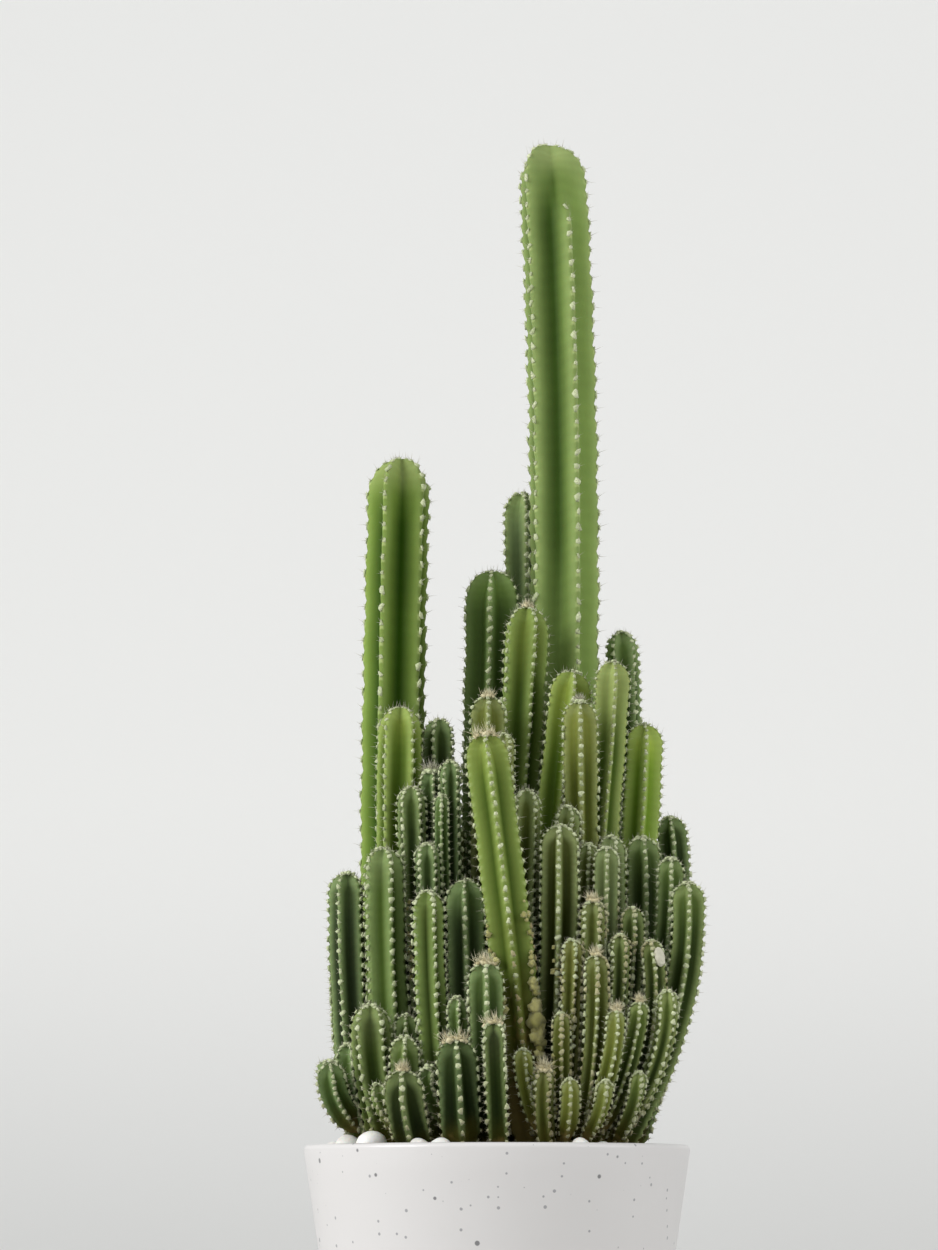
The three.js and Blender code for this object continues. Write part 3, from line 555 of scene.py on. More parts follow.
# %% [markdown]
# The line through a stem
#
# A stem is built round the curve through its foot, knee and tip. At any length along it, four directions are
# needed: where the middle is, which way the stem rises, and two directions across it. Near the soil a stem
# stands upright, as its neck does on the real plant.

# %% The middle line and the directions across it
LINE_STEPS = 40


def measured_line(k):
    """Shares of the height from foot to tip, and the length of stem below each."""
    t = np.linspace(0, 1, LINE_STEPS + 1)
    plan = curve_through(foot_of[k], knee_of[k], tip_of[k], t[:, None])
    points = np.column_stack([plan, t * height_of[k]])
    steps = np.linalg.norm(np.diff(points, axis=0), axis=1)
    return t, np.concatenate([[0], np.cumsum(steps)])


def unit(vectors):
    """The same directions, each with a length of 1."""
    return vectors / np.linalg.norm(vectors, axis=-1, keepdims=True)


def directions(k, along):
    """The middle, the rise, and the two directions across stem k at these lengths along it."""
    shares, lengths = LINES[k]
    place = np.clip(along, 0, lengths[-1])
    t = np.interp(place, lengths, shares)[..., None]
    plan = curve_through(foot_of[k], knee_of[k], tip_of[k], t)
    middle = np.concatenate([plan, low_of[k] + t * height_of[k]], -1)
    slope = 2 * (1 - t) * (knee_of[k] - foot_of[k]) + 2 * t * (tip_of[k] - knee_of[k])
    rise = unit(np.concatenate([slope, np.full_like(t, height_of[k])], -1))
    if not is_shoot[k]:
        upright = (1 - smooth(place / (LEVEL_FOOT_SHARE * radius_of[k])))[..., None]
        rise = unit(rise + upright * (np.array([0.0, 0.0, 1.0]) - rise))
    right = unit(np.array([1.0, 0.0, 0.0]) - rise[..., :1] * rise)
    return middle, rise, right, np.cross(rise, right)


def outward(right, away, angle):
    """The direction out of a stem at an angle from its front."""
    return right * np.sin(angle)[..., None] - away * np.cos(angle)[..., None]


LINES = [measured_line(k) for k in range(COUNT)]
print("tallest stem is", round(float(LINES[0][1][-1])), "mm long")

# %% [markdown]
# Areoles along a rib
#
# The tufts sit evenly along a grown rib and crowd together towards the young tip, where the rib is still
# stretching. So a place on the rib is counted in areoles from the tip, and this rule turns that count into a
# length. Neighbouring ribs are out of step with each other, as they are on the plant, where the areoles
# follow a spiral.

# %% Spacing of the areoles
PITCH_BASE = 4.1
PITCH_SHARE = 0.15
FIRST_AREOLE = 0.8
YOUNG_SHARE = 0.14
YOUNG_RADII = (8, 14)
YOUNG_COUNT = (4.2, 2.9)
STEP_FADE = 2.0
DOME_STEPS = 60


def young_count(radius):
    """How many areoles are crowded at a tip. Slim stems have more of them than stout ones."""
    return np.interp(radius, YOUNG_RADII, YOUNG_COUNT)


def crowded_count(w, radius):
    """How many full pitches lie above the areole with this count."""
    crowd = young_count(radius)
    return w - (1 - YOUNG_SHARE) * crowd * (1 - np.exp(-w / crowd))


def dome_arc(radius):
    """The length over the domed tip, set against the depth below it."""
    angle = np.linspace(0, math.pi / 2, DOME_STEPS)
    out, depth = radius * np.sin(angle), DOME_SHARE * radius * (1 - np.cos(angle))
    return depth, np.concatenate([[0], np.cumsum(np.hypot(np.diff(out), np.diff(depth)))])


def depth_below_tip(radius, arc):
    """The depth below the tip at an arc length down from it over the skin."""
    depth, length = dome_arc(radius)
    return np.where(arc < length[-1], np.interp(arc, length, depth), arc - length[-1] + depth[-1])


def areoles_of(k):
    """How many areoles a rib of stem k has, the arc down to the foot, and the pitch between them."""
    radius, length = radius_of[k], LINES[k][1][-1]
    depth, arc = dome_arc(radius)
    to_foot = length - depth[-1] + arc[-1]
    wanted = rows[k].get("pitch", PITCH_BASE + PITCH_SHARE * radius)
    count = round((to_foot - FIRST_AREOLE) / wanted + (1 - YOUNG_SHARE) * young_count(radius))
    return count, to_foot, (to_foot - FIRST_AREOLE) / crowded_count(count, radius)


def rib_shift(k, rib):
    """The share of a pitch by which this rib is out of step."""
    return (2 * rib % rows[k]["ribs"]) / rows[k]["ribs"]


def along_at(k, w, shift):
    """The length along stem k at a count of areoles, for a rib that is out of step by shift."""
    count, to_foot, pitch = areoles_of(k)
    fade = smooth(w / STEP_FADE) * smooth((count - w) / STEP_FADE)
    shifted = w + (shift - 0.5) * fade
    arc = np.where(w <= 0, 0, FIRST_AREOLE + pitch * crowded_count(shifted, radius_of[k]))
    return LINES[k][1][-1] - depth_below_tip(radius_of[k], np.minimum(arc, to_foot))


print("areoles on a rib", [areoles_of(k)[0] for k in range(8)])

# %% [markdown]
# The skin of a stem
#
# A stem could be drawn as a star and extruded upwards, but then its ribs would be plain straight fins. Here a
# flat grid is wrapped round the middle line instead: its columns become the ribs and furrows, and its rows
# follow the areoles, so a rib can swell below each tuft and pinch in above it. The seam, the tip and the foot
# are welded shut afterwards.

# %% Profile of a rib
STOUT_RADIUS = 15
MIDDLE_RADIUS = 12.2
CREST_FULLNESS = 0.16
FLANK_FULLNESS = 0.1
VALLEY_WIDTH = 0.17
LATE_FADE = 36.0
LATE_VALLEY = 0.36


def rib_section(across, half, furrow):
    """A point between crest and furrow, as its distance out and its angle from the crest."""
    p = across
    a, b, c, d = (1 - p) ** 3, 3 * p * (1 - p) ** 2, 3 * p * p * (1 - p), p**3
    deep = furrow + FLANK_FULLNESS * (1 - furrow)
    x = a + b + (c * deep + d * furrow) * math.cos(half) + c * VALLEY_WIDTH * math.sin(half)
    y = b * CREST_FULLNESS + (c * deep + d * furrow) * math.sin(half) - c * VALLEY_WIDTH * math.cos(half)
    return np.hypot(x, y), np.arctan2(y, x)


def rib_layout(k):
    """For each column of the wrapped grid: its rib, its side of the crest, and how far across it is."""
    columns = 5 if radius_of[k] > STOUT_RADIUS else 4 if radius_of[k] > MIDDLE_RADIUS else 3
    column = np.arange(2 * columns * rows[k]["ribs"] + 1)
    rib = (column + columns) // (2 * columns)
    side = (column + columns) % (2 * columns) - columns
    return rib, side, np.abs(side) / columns


def section(k, furrow, grown):
    """The whole section of stem k at each row, for a radius of 1: distances out, angles, and how near each
    point is to a crest. grown says how far a late rib has risen at each row."""
    rib, side, across = rib_layout(k)
    step = 2 * math.pi / rows[k]["ribs"]
    full_turn = 0.5 * rows[k]["ribs"]
    out, angle = rib_section(across, step / 2, furrow)
    angle = rib * step + np.sign(side) * angle
    crest = 1 - across + np.zeros_like(out)
    for late_rib in rows[k].get("late", {}):
        first, last = (late_rib - 1) * step, (late_rib + 1) * step
        valley = first + LATE_VALLEY * (last - first)
        share = (rib * step + side / np.abs(side).max() * step / 2 - first) / (last - first)
        share = np.where(share > full_turn, share - full_turn, share)
        left = np.clip(share / LATE_VALLEY, 0, 1)
        right = np.clip((1 - share) / (1 - LATE_VALLEY), 0, 1)
        out_left, angle_left = rib_section(left, valley - first, furrow)
        out_right, angle_right = rib_section(right, last - valley, furrow)
        on_left = share < LATE_VALLEY
        plain_out = np.where(on_left, out_left, out_right)
        plain_angle = np.where(on_left, first + angle_left, last - angle_right)
        inside = (share >= 0) & (share <= 1)
        mixed = [grown * out * f(angle) + (1 - grown) * plain_out * f(plain_angle) for f in (np.sin, np.cos)]
        out = np.where(inside, np.hypot(*mixed), out)
        angle = np.where(inside, np.arctan2(*mixed), angle)
        plain_crest = 1 - np.where(on_left, left, right)
        crest = np.where(inside, grown * crest + (1 - grown) * plain_crest, crest)
    return out, angle + math.radians(rows[k]["turn"]), crest


print("columns round the tallest stem", len(rib_layout(0)[0]) - 1)

# %% How the ribs change along a stem
FURROW_AT_TIP = 0.4
FURROW_AT_FOOT = 0.8
FURROW_TIP_SHARE = 2
FOOT_FADE = 5.0
SWELLS = {4: (0.75, 1.0, 0.65, 0.0), 3: (0.9, 0.7, -0.4)}
END_SHARE = 0.9
END_TEETH = 0.25
BLUNT_SHARE = 0.2
BLUNT_FROM = 8
BLUNT_OVER = 8
GROWTH_RINGS = 0.018
RING_LENGTH = 46.0
SUNKEN_TIP = 0.06
SUNKEN_TIP_REACH = 0.3
SUNKEN_FURROW = 0.26
SUNKEN_FURROW_FROM = 0.2
SUNKEN_FURROW_REACH = 1.3
NO_LATE_RIB = -1e3


def swell_of(k):
    """How far a rib swells at each row between two areoles."""
    return SWELLS[4 if radius_of[k] > STOUT_RADIUS else 3]


def furrow_and_growth(k, along):
    """How deep the furrows are along a stem, and how far a late rib has risen."""
    radius, below = radius_of[k], LINES[k][1][-1] - along
    furrow = FURROW_SHARE + (FURROW_AT_FOOT - FURROW_SHARE) * (1 - smooth(along / (FOOT_FADE * radius)))
    furrow = furrow + (FURROW_AT_TIP - FURROW_SHARE) * (1 - smooth(below / (FURROW_TIP_SHARE * radius)))
    starts = next(iter(rows[k].get("late", {}).values()), NO_LATE_RIB)
    return furrow, smooth((below - starts) / LATE_FADE)


def sunken_by(k, along, across):
    """How far the skin dips at the growing point and in the furrows round it."""
    below = (LINES[k][1][-1] - along) / radius_of[k]
    dip = SUNKEN_TIP * (1 - smooth(below / SUNKEN_TIP_REACH))
    furrows = smooth(below / SUNKEN_FURROW_FROM) * (1 - smooth(below / SUNKEN_FURROW_REACH))
    return (dip + SUNKEN_FURROW * across * furrows) * radius_of[k]


def crest_out(k, along, bump):
    """How far out the crest of a rib is, with its swelling below each areole."""
    radius, length = radius_of[k], LINES[k][1][-1]
    inner = smooth((length - along) / (END_SHARE * radius)) * smooth(along / neck_length(radius))
    rings = 1 + GROWTH_RINGS * np.sin(along / RING_LENGTH * 2 * math.pi + 5 * k) * inner
    blunt = 1 - BLUNT_SHARE * smooth((radius - BLUNT_FROM) / BLUNT_OVER)
    rise = tooth_height(radius) * blunt * (END_TEETH + (1 - END_TEETH) * inner)
    return radius * width_share(along, length, radius) * rings, rise * bump


print("rows to an areole", sorted(SWELLS))


# %% A grid that becomes a skin
def wrap_grid(name, around, up):
    """A flat grid with this many faces around and up, to be wrapped into a closed skin."""
    start_clean()
    bpy.ops.mesh.primitive_grid_add(x_subdivisions=around, y_subdivisions=up, size=1)
    piece = bpy.context.object
    piece.name = name
    return piece


def set_places(piece, places):
    """Puts each vertex in its place, given in millimetres."""
    piece.data.vertices.foreach_set("co", (places.reshape(-1, 3) * MM).astype(np.float32).ravel())
    piece.data.update()


def keep_reading(piece, name, values):
    """Stores a number at each vertex for the materials."""
    layer = piece.data.attributes.new(name, "FLOAT", "POINT")
    layer.data.foreach_set("value", np.broadcast_to(values, len(piece.data.vertices)).astype(np.float32))


def weld(piece):
    """Joins what meets, closes the seams and turns the faces outwards."""
    choose(piece)
    bpy.ops.object.mode_set(mode="EDIT")
    bpy.ops.mesh.select_all(action="SELECT")
    bpy.ops.mesh.remove_doubles(threshold=1e-6)
    bpy.ops.mesh.normals_make_consistent(inside=False)
    bpy.ops.object.mode_set(mode="OBJECT")
    bpy.ops.object.shade_smooth()


print("one millimetre is", MM, "in the scene")

# %% Wrap a stem
RIDGE_WIDTH = (0.235, 0.0042)
USUAL_READINGS = {"bloom": 0.75, "veil": 0.0}
USUAL_LENGTHS = {"brown": 30, "young": 30}
# How dark the painted shade in the furrows usually is, how much of it is left low on a stem, the lengths that
# leave it whole, and how soon the painted light on the right side comes on.
USUAL_FURROW_SHADE = 0.65
LOW_FURROW_SHADE = 0.3
WHOLE_FURROW_SHADE = (-2, -1)
PAINTED_LIGHT_FADE = 0.5


def crest_distance(k, crest, furrow):
    """How far to the side of its crest a point is, where 1 is the edge of the pale band."""
    out, angle = rib_section(1 - crest, math.pi / rows[k]["ribs"], furrow)
    return out * np.sin(angle) / (RIDGE_WIDTH[0] - RIDGE_WIDTH[1] * radius_of[k]) / rows[k].get("band", 1)


def skin_grid(k):
    """The places on the skin of stem k, row by row up to its tip, and the numbers kept at each."""
    row, length = rows[k], LINES[k][1][-1]
    swell, count = swell_of(k), areoles_of(k)[0]
    rib, side, across = rib_layout(k)
    shifts = np.array([rib_shift(k, r) for r in range(row["ribs"])])
    own, beside = shifts[rib % row["ribs"]], shifts[(rib + np.where(side < 0, -1, 1)) % row["ribs"]]
    steps = np.arange(count * len(swell), -1, -1)
    w = steps[:, None] / len(swell)
    along = along_at(k, w, own + (beside - own) * across / 2)
    furrow, grown = furrow_and_growth(k, along)
    out, angle, crest = section(k, furrow, grown)
    full, swelling = crest_out(k, along, np.array(swell)[steps % len(swell)][:, None])
    fade = np.where(rib % row["ribs"] == next(iter(row.get("late", {})), -1), grown, 1)
    out = out * full + swelling * (1 - across) ** 2 * fade
    middle, rise, right, away = directions(k, along)
    places = middle + outward(right, away, angle) * out[..., None]
    places = places - rise * sunken_by(k, along, 1 - crest)[..., None]

    # Painted light and shade: each stem's shade, partly its own lightness and partly painted shade, is painted
    # lighter on the right side, where the sine of the angle is above 0, and darker there where the side light
    # is below 0. On the right some of the painted shade in the furrows is taken away, and below a given length
    # up the stem the painted furrow shade is weaker.
    sunny = np.sin(angle)
    worn_from, worn_to = row.get("worn", WHOLE_FURROW_SHADE)
    worn = LOW_FURROW_SHADE + (1 - LOW_FURROW_SHADE) * smooth((along - worn_from) / (worn_to - worn_from))
    return places, {
        "shade": row.get("shade", 1) * (1 + row.get("sun", 0) * sunny),
        "depth": row.get("depth", USUAL_FURROW_SHADE) * (1 - row.get("lit", 0) * smooth(sunny / PAINTED_LIGHT_FADE)) * worn,
        "crest": crest,
        "ridge": crest_distance(k, crest, furrow),
        "below_tip": (length - along) * MM,
        "above_foot": along * MM,
        "areole": w + 0 * along,
    }


def stem_flesh(k):
    """The closed skin of stem k, from a flat foot in the soil to its tip."""
    places, readings = skin_grid(k)
    foot = places[:1].copy()
    if not is_shoot[k]:
        foot[..., 2] = SOIL_TOP - STUB_DEPTH
    closed = np.broadcast_to(foot.mean(axis=1, keepdims=True), foot.shape)
    places = np.concatenate([closed, foot, places])
    piece = wrap_grid("flesh", places.shape[1] - 1, len(places) - 1)
    set_places(piece, places)
    for name, values in readings.items():
        keep_reading(piece, name, np.pad(values, ((2, 0), (0, 0)), "edge").ravel())
    keep_reading(piece, "tone", rows[k]["tone"])
    for name, usual in USUAL_LENGTHS.items():
        keep_reading(piece, name, rows[k].get(name, usual) * MM)
    for name, usual in USUAL_READINGS.items():
        keep_reading(piece, name, rows[k].get(name, usual))
    weld(piece)
    return piece


print("rows and columns of the tallest skin", skin_grid(0)[0].shape[:2])

# %% Places of the tufts
TUFT_STEP = 0.1
RISE_STEP = 0.1
BARE_SHARE = {False: 0.02, True: 0.12}
LOWEST_TUFT = 4.0


def on_crest(k, rib, w):
    """Places on the crest of a rib at these counts of areoles, how far along they are, and the way out."""
    column_rib, side_of, _ = rib_layout(k)
    column = np.flatnonzero((column_rib == rib) & (side_of == 0))[0]
    bump = np.interp(TUFT_STEP * len(swell_of(k)), [0, 1], swell_of(k)[:2])
    along = along_at(k, w, rib_shift(k, rib))
    furrow, grown = furrow_and_growth(k, along)
    out, angle, _ = (part[:, column] for part in section(k, furrow[:, None], grown[:, None]))
    middle, rise, right, away = directions(k, along)
    full, swelling = crest_out(k, along, bump)
    risen = grown if rib in rows[k].get("late", {}) else 1
    facing = outward(right, away, angle)
    places = middle + facing * (out * full + swelling * risen)[:, None]
    return places - rise * sunken_by(k, along, 0)[:, None], along, facing


def tuft_places(k):
    """Where the areoles of stem k are: place, outward, rise and count from the tip."""
    length = LINES[k][1][-1]
    w = np.arange(1, areoles_of(k)[0]) + TUFT_STEP
    found = []
    for rib in range(rows[k]["ribs"]):
        places, _, _ = on_crest(k, rib, w)
        above, along, facing = on_crest(k, rib, w - RISE_STEP)
        up = unit(above - places)
        normal = unit(np.cross(np.cross(up, facing), up))
        late = rows[k].get("late", {}).get(rib, 0)
        keep = (along > BARE_SHARE[bool(is_shoot[k])] * length) & (places[:, 2] > SOIL_TOP + LOWEST_TUFT)
        keep &= length - along > late + LATE_FADE * (late > 0) / 3
        found.append(np.concatenate([places, normal, up, w[:, None]], axis=1)[keep])
    return np.concatenate(found)


print("areoles on the tallest stem", len(tuft_places(0)))

# %% [markdown]
# Skin, wool and spines
#
# The skin is waxy and half matt. It is darkest down in the furrows, where shade is painted, and palest along
# the crests, where the wax lies thickest. Palest of all is a hook below each tuft, partly paler skin round the
# areole and partly a painted highlight on the swelling below it. Some stems carry painted light on one side.
# The skin turns yellow-green at a young tip and corky brown round an old foot. The numbers that the mesh
# carries say where each of these is, so the colours follow the ribs however the stem bends.

# %% Colours of the skin
# The furrow colours are painted shade: the dark greens painted down in the furrows.
SHADE_OF = {
    "stem_green": {
        "flank": (104, 126, 59), "furrow": (34, 60, 0), "crest": (158, 174, 123), "tip": (142, 153, 106),
    },
    "stem_deep_green": {
        "flank": (66, 82, 42), "furrow": (18, 30, 4), "crest": (146, 161, 118), "tip": (96, 114, 62),
    },
    "stem_fresh_green": {
        "flank": (104, 126, 46), "furrow": (46, 70, 4), "crest": (160, 175, 108), "tip": (150, 162, 78),
    },
    "stem_olive": {
        "flank": (88, 98, 42), "furrow": (30, 36, 2), "crest": (146, 156, 116), "tip": (116, 124, 68),
    },
}
YOUNG_SKIN = (0.006, 0.05)
WIDE_FURROW_SHADE = (0.0, 0.85)
NARROW_FURROW_SHADE = (-0.3, 0.4)
TIP_END = 0.002
TIP_SHARE = 0.75
WAXY = (146, 158, 134)
VEIL_SHARE = 0.3
VEIL_OPEN = 1.1


def furrow_shade_share(finish):
    """How much painted shade a point gets by its depth in a furrow. On young skin only the very bottom is
    shaded.
    """
    crest = finish.reading("crest")
    grown = finish.between(finish.reading("below_tip"), *YOUNG_SKIN)
    wide = finish.times(finish.between(crest, *WIDE_FURROW_SHADE), grown)
    narrow = finish.times(finish.between(crest, *NARROW_FURROW_SHADE), finish.less(1.0, grown))
    return finish.times(finish.less(1.0, finish.plus(wide, narrow)), finish.reading("depth"))


def green_skin(finish, shades):
    """Flank, painted shade in the furrows, and young tip, under a thin veil of wax."""
    painted_furrow_shade = furrow_shade_share(finish)
    colour = finish.mix(painted_furrow_shade, shades["flank"], shades["furrow"])
    young = finish.between(finish.reading("below_tip"), finish.reading("young"), TIP_END)
    colour = finish.mix(finish.times(young, TIP_SHARE), colour, shades["tip"])
    # The shade reading is partly each stem's own lightness and partly painted shade: lower for stems deep
    # inside the clump, and painted lighter on the right side of some.
    colour = finish.scaled(colour, finish.reading("shade"))
    open_skin = finish.less(VEIL_OPEN, painted_furrow_shade, clamp=True)
    veil = finish.times(finish.times(finish.reading("veil"), VEIL_SHARE), open_skin)
    return finish.mix(veil, colour, paint(*WAXY))


print("slots of the skin", sorted(SHADE_OF))

# %% Powder on the crests
PALE_STEP = 0.25
# The hook colour is partly paler skin round each areole and partly a painted highlight on the swelling below
# it.
HOOK_PALE_HIGHLIGHT = (196, 207, 160)
HOOK_TURN = (0.0, 0.9)
HOOK_SHARE = 0.55
HOOK_BELOW = (0.004, 0.016)
HOOK_EDGE = (0.6, 0.1)
BAND_EDGE = (1.25, 0.4)
BAND_AT_TIP = (0.012, 0.001)
BAND_AT_TIP_SHARE = 0.5
POWDER_LEAST = 0.18
POWDER_SHARE = 0.65


def powdered_crest(finish, colour, crest_colour):
    """The pale band along each crest, and the paler hook below each tuft: paler skin with a painted highlight.
    """
    below = finish.reading("below_tip")
    turned = finish.times(finish.less(finish.reading("areole"), PALE_STEP), 2 * math.pi)
    hook_highlight = finish.times(finish.between(finish.step("COSINE", turned), *HOOK_TURN), HOOK_SHARE)
    hook_highlight = finish.times(hook_highlight, finish.between(below, *HOOK_BELOW))
    wider = finish.times(finish.between(below, *BAND_AT_TIP), BAND_AT_TIP_SHARE)
    ridge = finish.less(finish.reading("ridge"), wider)
    powdery = finish.plus(finish.times(finish.reading("bloom"), POWDER_SHARE), POWDER_LEAST)
    colour = finish.mix(finish.times(finish.between(ridge, *BAND_EDGE), powdery), colour, crest_colour)
    return finish.mix(finish.times(finish.between(ridge, *HOOK_EDGE), hook_highlight), colour, paint(*HOOK_PALE_HIGHLIGHT))


print("the middle of a hook is", PALE_STEP, "of a pitch below its tuft")

# %% The whole skin
WARM_SKIN = (255, 246, 206)
COOL_SKIN = (224, 238, 220)
AGEING = (
    {"scale": 38, "edge": (-0.5, 0.25), "share": 0.75, "colour": (72, 69, 25)},
    {"scale": 130, "edge": (0.0, 0.3), "share": 0.6, "colour": (124, 106, 62)},
)
RING_SHARE = 0.025
CLOUD_SHARE = 0.5
LEAST_LIGHT = 0.75
PORE_SHARE = 0.16


def aged_foot(finish, colour):
    """Brown patches and cork, which spread up from the foot in the shapes of clouds."""
    aged = finish.step("DIVIDE", finish.reading("above_foot"), finish.reading("brown"))
    for patch in AGEING:
        brown = finish.between(finish.less(finish.noise(patch["scale"], 5), aged), *patch["edge"])
        colour = finish.mix(finish.times(brown, patch["share"]), colour, paint(*patch["colour"]))
    return colour


def skin(slot):
    """The finish of every stem in one slot."""
    finish = Finish("skin_" + slot.removeprefix("stem_"), 0.5)
    shades = {name: paint(*values) for name, values in SHADE_OF[slot].items()}
    colour = powdered_crest(finish, green_skin(finish, shades), shades["crest"])
    warm = finish.mix(1.0, colour, paint(*WARM_SKIN), "MULTIPLY")
    cool = finish.mix(1.0, colour, paint(*COOL_SKIN), "MULTIPLY")
    colour = aged_foot(finish, finish.mix(finish.reading("tone"), cool, warm))
    growth = finish.step("SINE", finish.times(finish.reading("areole"), 2 * math.pi))
    cloudy = finish.noise(60, 4, (1, 1, 0.35))
    light = finish.plus(finish.times(growth, RING_SHARE), finish.times(cloudy, CLOUD_SHARE))
    colour = finish.scaled(colour, finish.plus(light, LEAST_LIGHT))
    pores = finish.noise(900, 2)
    rough = finish.plus(finish.times(pores, PORE_SHARE), 0.4)
    finish.set(finish.shader, {"Base Color": colour, "Roughness": rough})
    finish.set(finish.shader, {"Subsurface Weight": 0.05, "Subsurface Scale": 0.003})
    finish.set(finish.shader, {"Specular IOR Level": 0.04})
    finish.relief(finish.plus(finish.noise(160, 3), finish.times(pores, 0.12)), 0.0007, 0.5)
    return finish.material


SKINS = {slot: skin(slot) for slot in SHADE_OF}
print("skins", sorted(SKINS))

# %% [markdown]
# Wool is made of fibres that are far too fine to model. A matt, nearly white surface with a rough bump reads
# as felt at this size. Each tuft carries its own number, so no two have quite the same colour, and those
# low on a stem are greyer and browner with age. Where a patch has withered they are tan.

# %% Wool, spines and cork
DRY_WOOL = (172, 152, 98)
AGED_HEIGHTS = (0.06, 0.005)
AGED_SHARE = 1.3


def fibre(name, pale, dull, old, roughness=0.9, bump=0.0005):
    """A finish between two colours, which turns to a third, old one near the soil."""
    finish = Finish(name, roughness)
    colour = finish.mix(finish.reading("own"), paint(*pale), paint(*dull))
    colour = finish.mix(finish.reading("dry"), colour, paint(*DRY_WOOL))
    aged = finish.times(finish.between(finish.reading("above_foot"), *AGED_HEIGHTS), finish.noise(70, 3))
    colour = finish.mix(finish.times(aged, AGED_SHARE, clamp=True), colour, paint(*old))
    fuzz = finish.noise(2600, 3)
    shade = finish.mix(fuzz, paint(196, 196, 196), paint(255, 255, 255))
    colour = finish.mix(1.0, colour, shade, "MULTIPLY")
    finish.set(finish.shader, {"Base Color": colour, "Sheen Weight": 0.25})
    finish.relief(fuzz, bump, 0.8)
    return finish.material


WOOL = fibre("cream_wool", (232, 240, 194), (194, 206, 154), (150, 142, 98))
SPINE = fibre("grey_spine", (206, 204, 178), (166, 160, 128), (136, 116, 82), 0.55, 0.0001)
TAN_SPINE = fibre("tan_spine", (242, 236, 196), (212, 196, 148), (170, 148, 102), 0.55, 0.0001)
TAN_WOOL = fibre("tan_wool", (238, 228, 186), (210, 196, 148), (164, 142, 98))
CORK = fibre("yellow_cork", (214, 208, 134), (176, 172, 92), (150, 134, 84), 0.8, 0.0009)
print("fibres", [m.name for m in (WOOL, SPINE, TAN_SPINE, TAN_WOOL, CORK)])

# %% [markdown]
# One tuft and one spine
#
# There are thousands of tufts, and at this size each needs only a few faces. Five slightly different tufts
# are shaped from small spheres and one spine from a three-sided cone. They are then copied along the ribs,
# each turned to face out of its rib.

# %% Shapes that repeat
TUFT_UNEVENNESS = 0.46
TUFT_SEEDS = (1, 2, 3, 4, 5)


def triangles_of(piece):
    """Takes the corners and triangles of a finished shape, and deletes the piece itself."""
    mesh = piece.data
    corners = np.array([v.co for v in mesh.vertices])
    mesh.calc_loop_triangles()
    faces = np.array([t.vertices for t in mesh.loop_triangles])
    bpy.data.objects.remove(piece)
    return corners, faces


def rough_ball(detail, unevenness, seed):
    """A ball of radius 1 that is pushed out of shape in edit mode."""
    start_clean()
    bpy.ops.mesh.primitive_ico_sphere_add(subdivisions=detail, radius=1)
    bpy.ops.object.mode_set(mode="EDIT")
    bpy.ops.mesh.select_all(action="SELECT")
    bpy.ops.transform.vertex_random(offset=unevenness, uniform=0.2, normal=0.9, seed=seed)
    bpy.ops.object.mode_set(mode="OBJECT")
    return triangles_of(bpy.context.object)


def spine_shape():
    """A three-sided spine of length 1 that stands on the origin."""
    start_clean()
    bpy.ops.mesh.primitive_cone_add(vertices=3, radius1=1, radius2=0, depth=1, location=(0, 0, 0.5))
    bpy.ops.object.transform_apply(location=True)
    return triangles_of(bpy.context.object)


TUFTS = [rough_ball(1, TUFT_UNEVENNESS, seed) for seed in TUFT_SEEDS]
THORN = spine_shape()
print("faces of a tuft", len(TUFTS[0][1]), "and of a spine", len(THORN[1]))


# %% Copy a shape to many places
def copies(name, shapes, which, places, axes, material, **readings):
    """One mesh of many copies. axes holds three scaled directions for each copy, in millimetres."""
    corners, faces, owners, start = [], [], [], 0
    for number, (shape, triangles) in enumerate(shapes):
        chosen = np.flatnonzero(which == number)
        moved = np.einsum("vi,nij->nvj", shape, axes[chosen]) + places[chosen, None]
        offsets = start + np.arange(len(chosen)) * len(shape)
        corners.append(moved.reshape(-1, 3))
        faces.append((triangles[None] + offsets[:, None, None]).reshape(-1, 3))
        owners.append(np.repeat(chosen, len(shape)))
        start += len(chosen) * len(shape)
    mesh = bpy.data.meshes.new(name)
    mesh.from_pydata((np.concatenate(corners) * MM).tolist(), [], np.concatenate(faces).tolist())
    piece = bpy.data.objects.new(name, mesh)
    bpy.context.scene.collection.objects.link(piece)
    mesh.materials.append(material)
    owners = np.concatenate(owners)
    for label, values in readings.items():
        keep_reading(piece, label, np.broadcast_to(values, len(places))[owners])
    choose(piece)
    bpy.ops.object.shade_smooth()
    return piece


print("corners to move for each tuft", len(TUFTS[0][0]), "and for each spine", len(THORN[0]))

# %% [markdown]
# Dressing a stem
#
# The size of a tuft follows the radius of its stem, from three radii for which it is given as width, height
# and depth. Small stems have oval tufts that nearly meet, and the two large ones have tall narrow tufts far
# apart. Out of each come a few short spines that lie out sideways like a star, and one that stands up.

# %% Tufts of a stem
DRY_PATCH_SCALE = 0.06
DRY_EDGE = -0.15
DRY_SOFTNESS = 0.3
DRY_TOP = 330
DRY_FADE = 40
DRY_GROWTH = 0.15
TUFT_SIZES = {5: (1.2, 1.4, 0.85), 10: (1.35, 1.6, 0.9), 20: (1.6, 2.5, 0.9)}
TUFT_SPREAD = (0.68, 1.2)
TUFT_TILT = 0.7
TUFT_STRAY = 0.35
YOUNG_TUFT = 0.85
YOUNG_TUFT_COUNT = 5


def above_soil(places):
    """Heights above the soil, in metres."""
    return (places[:, 2] - SOIL_TOP) * MM


def dryness(k, places):
    """How withered the tufts are at these places. Dry patches spread over neighbouring stems."""
    patch = np.array([cloud.noise(Vector(place * DRY_PATCH_SCALE)) for place in places])
    height = smooth((DRY_TOP - places[:, 2]) / DRY_FADE)
    return rows[k].get("dry", 0.0) * smooth((patch - DRY_EDGE) / DRY_SOFTNESS) * height


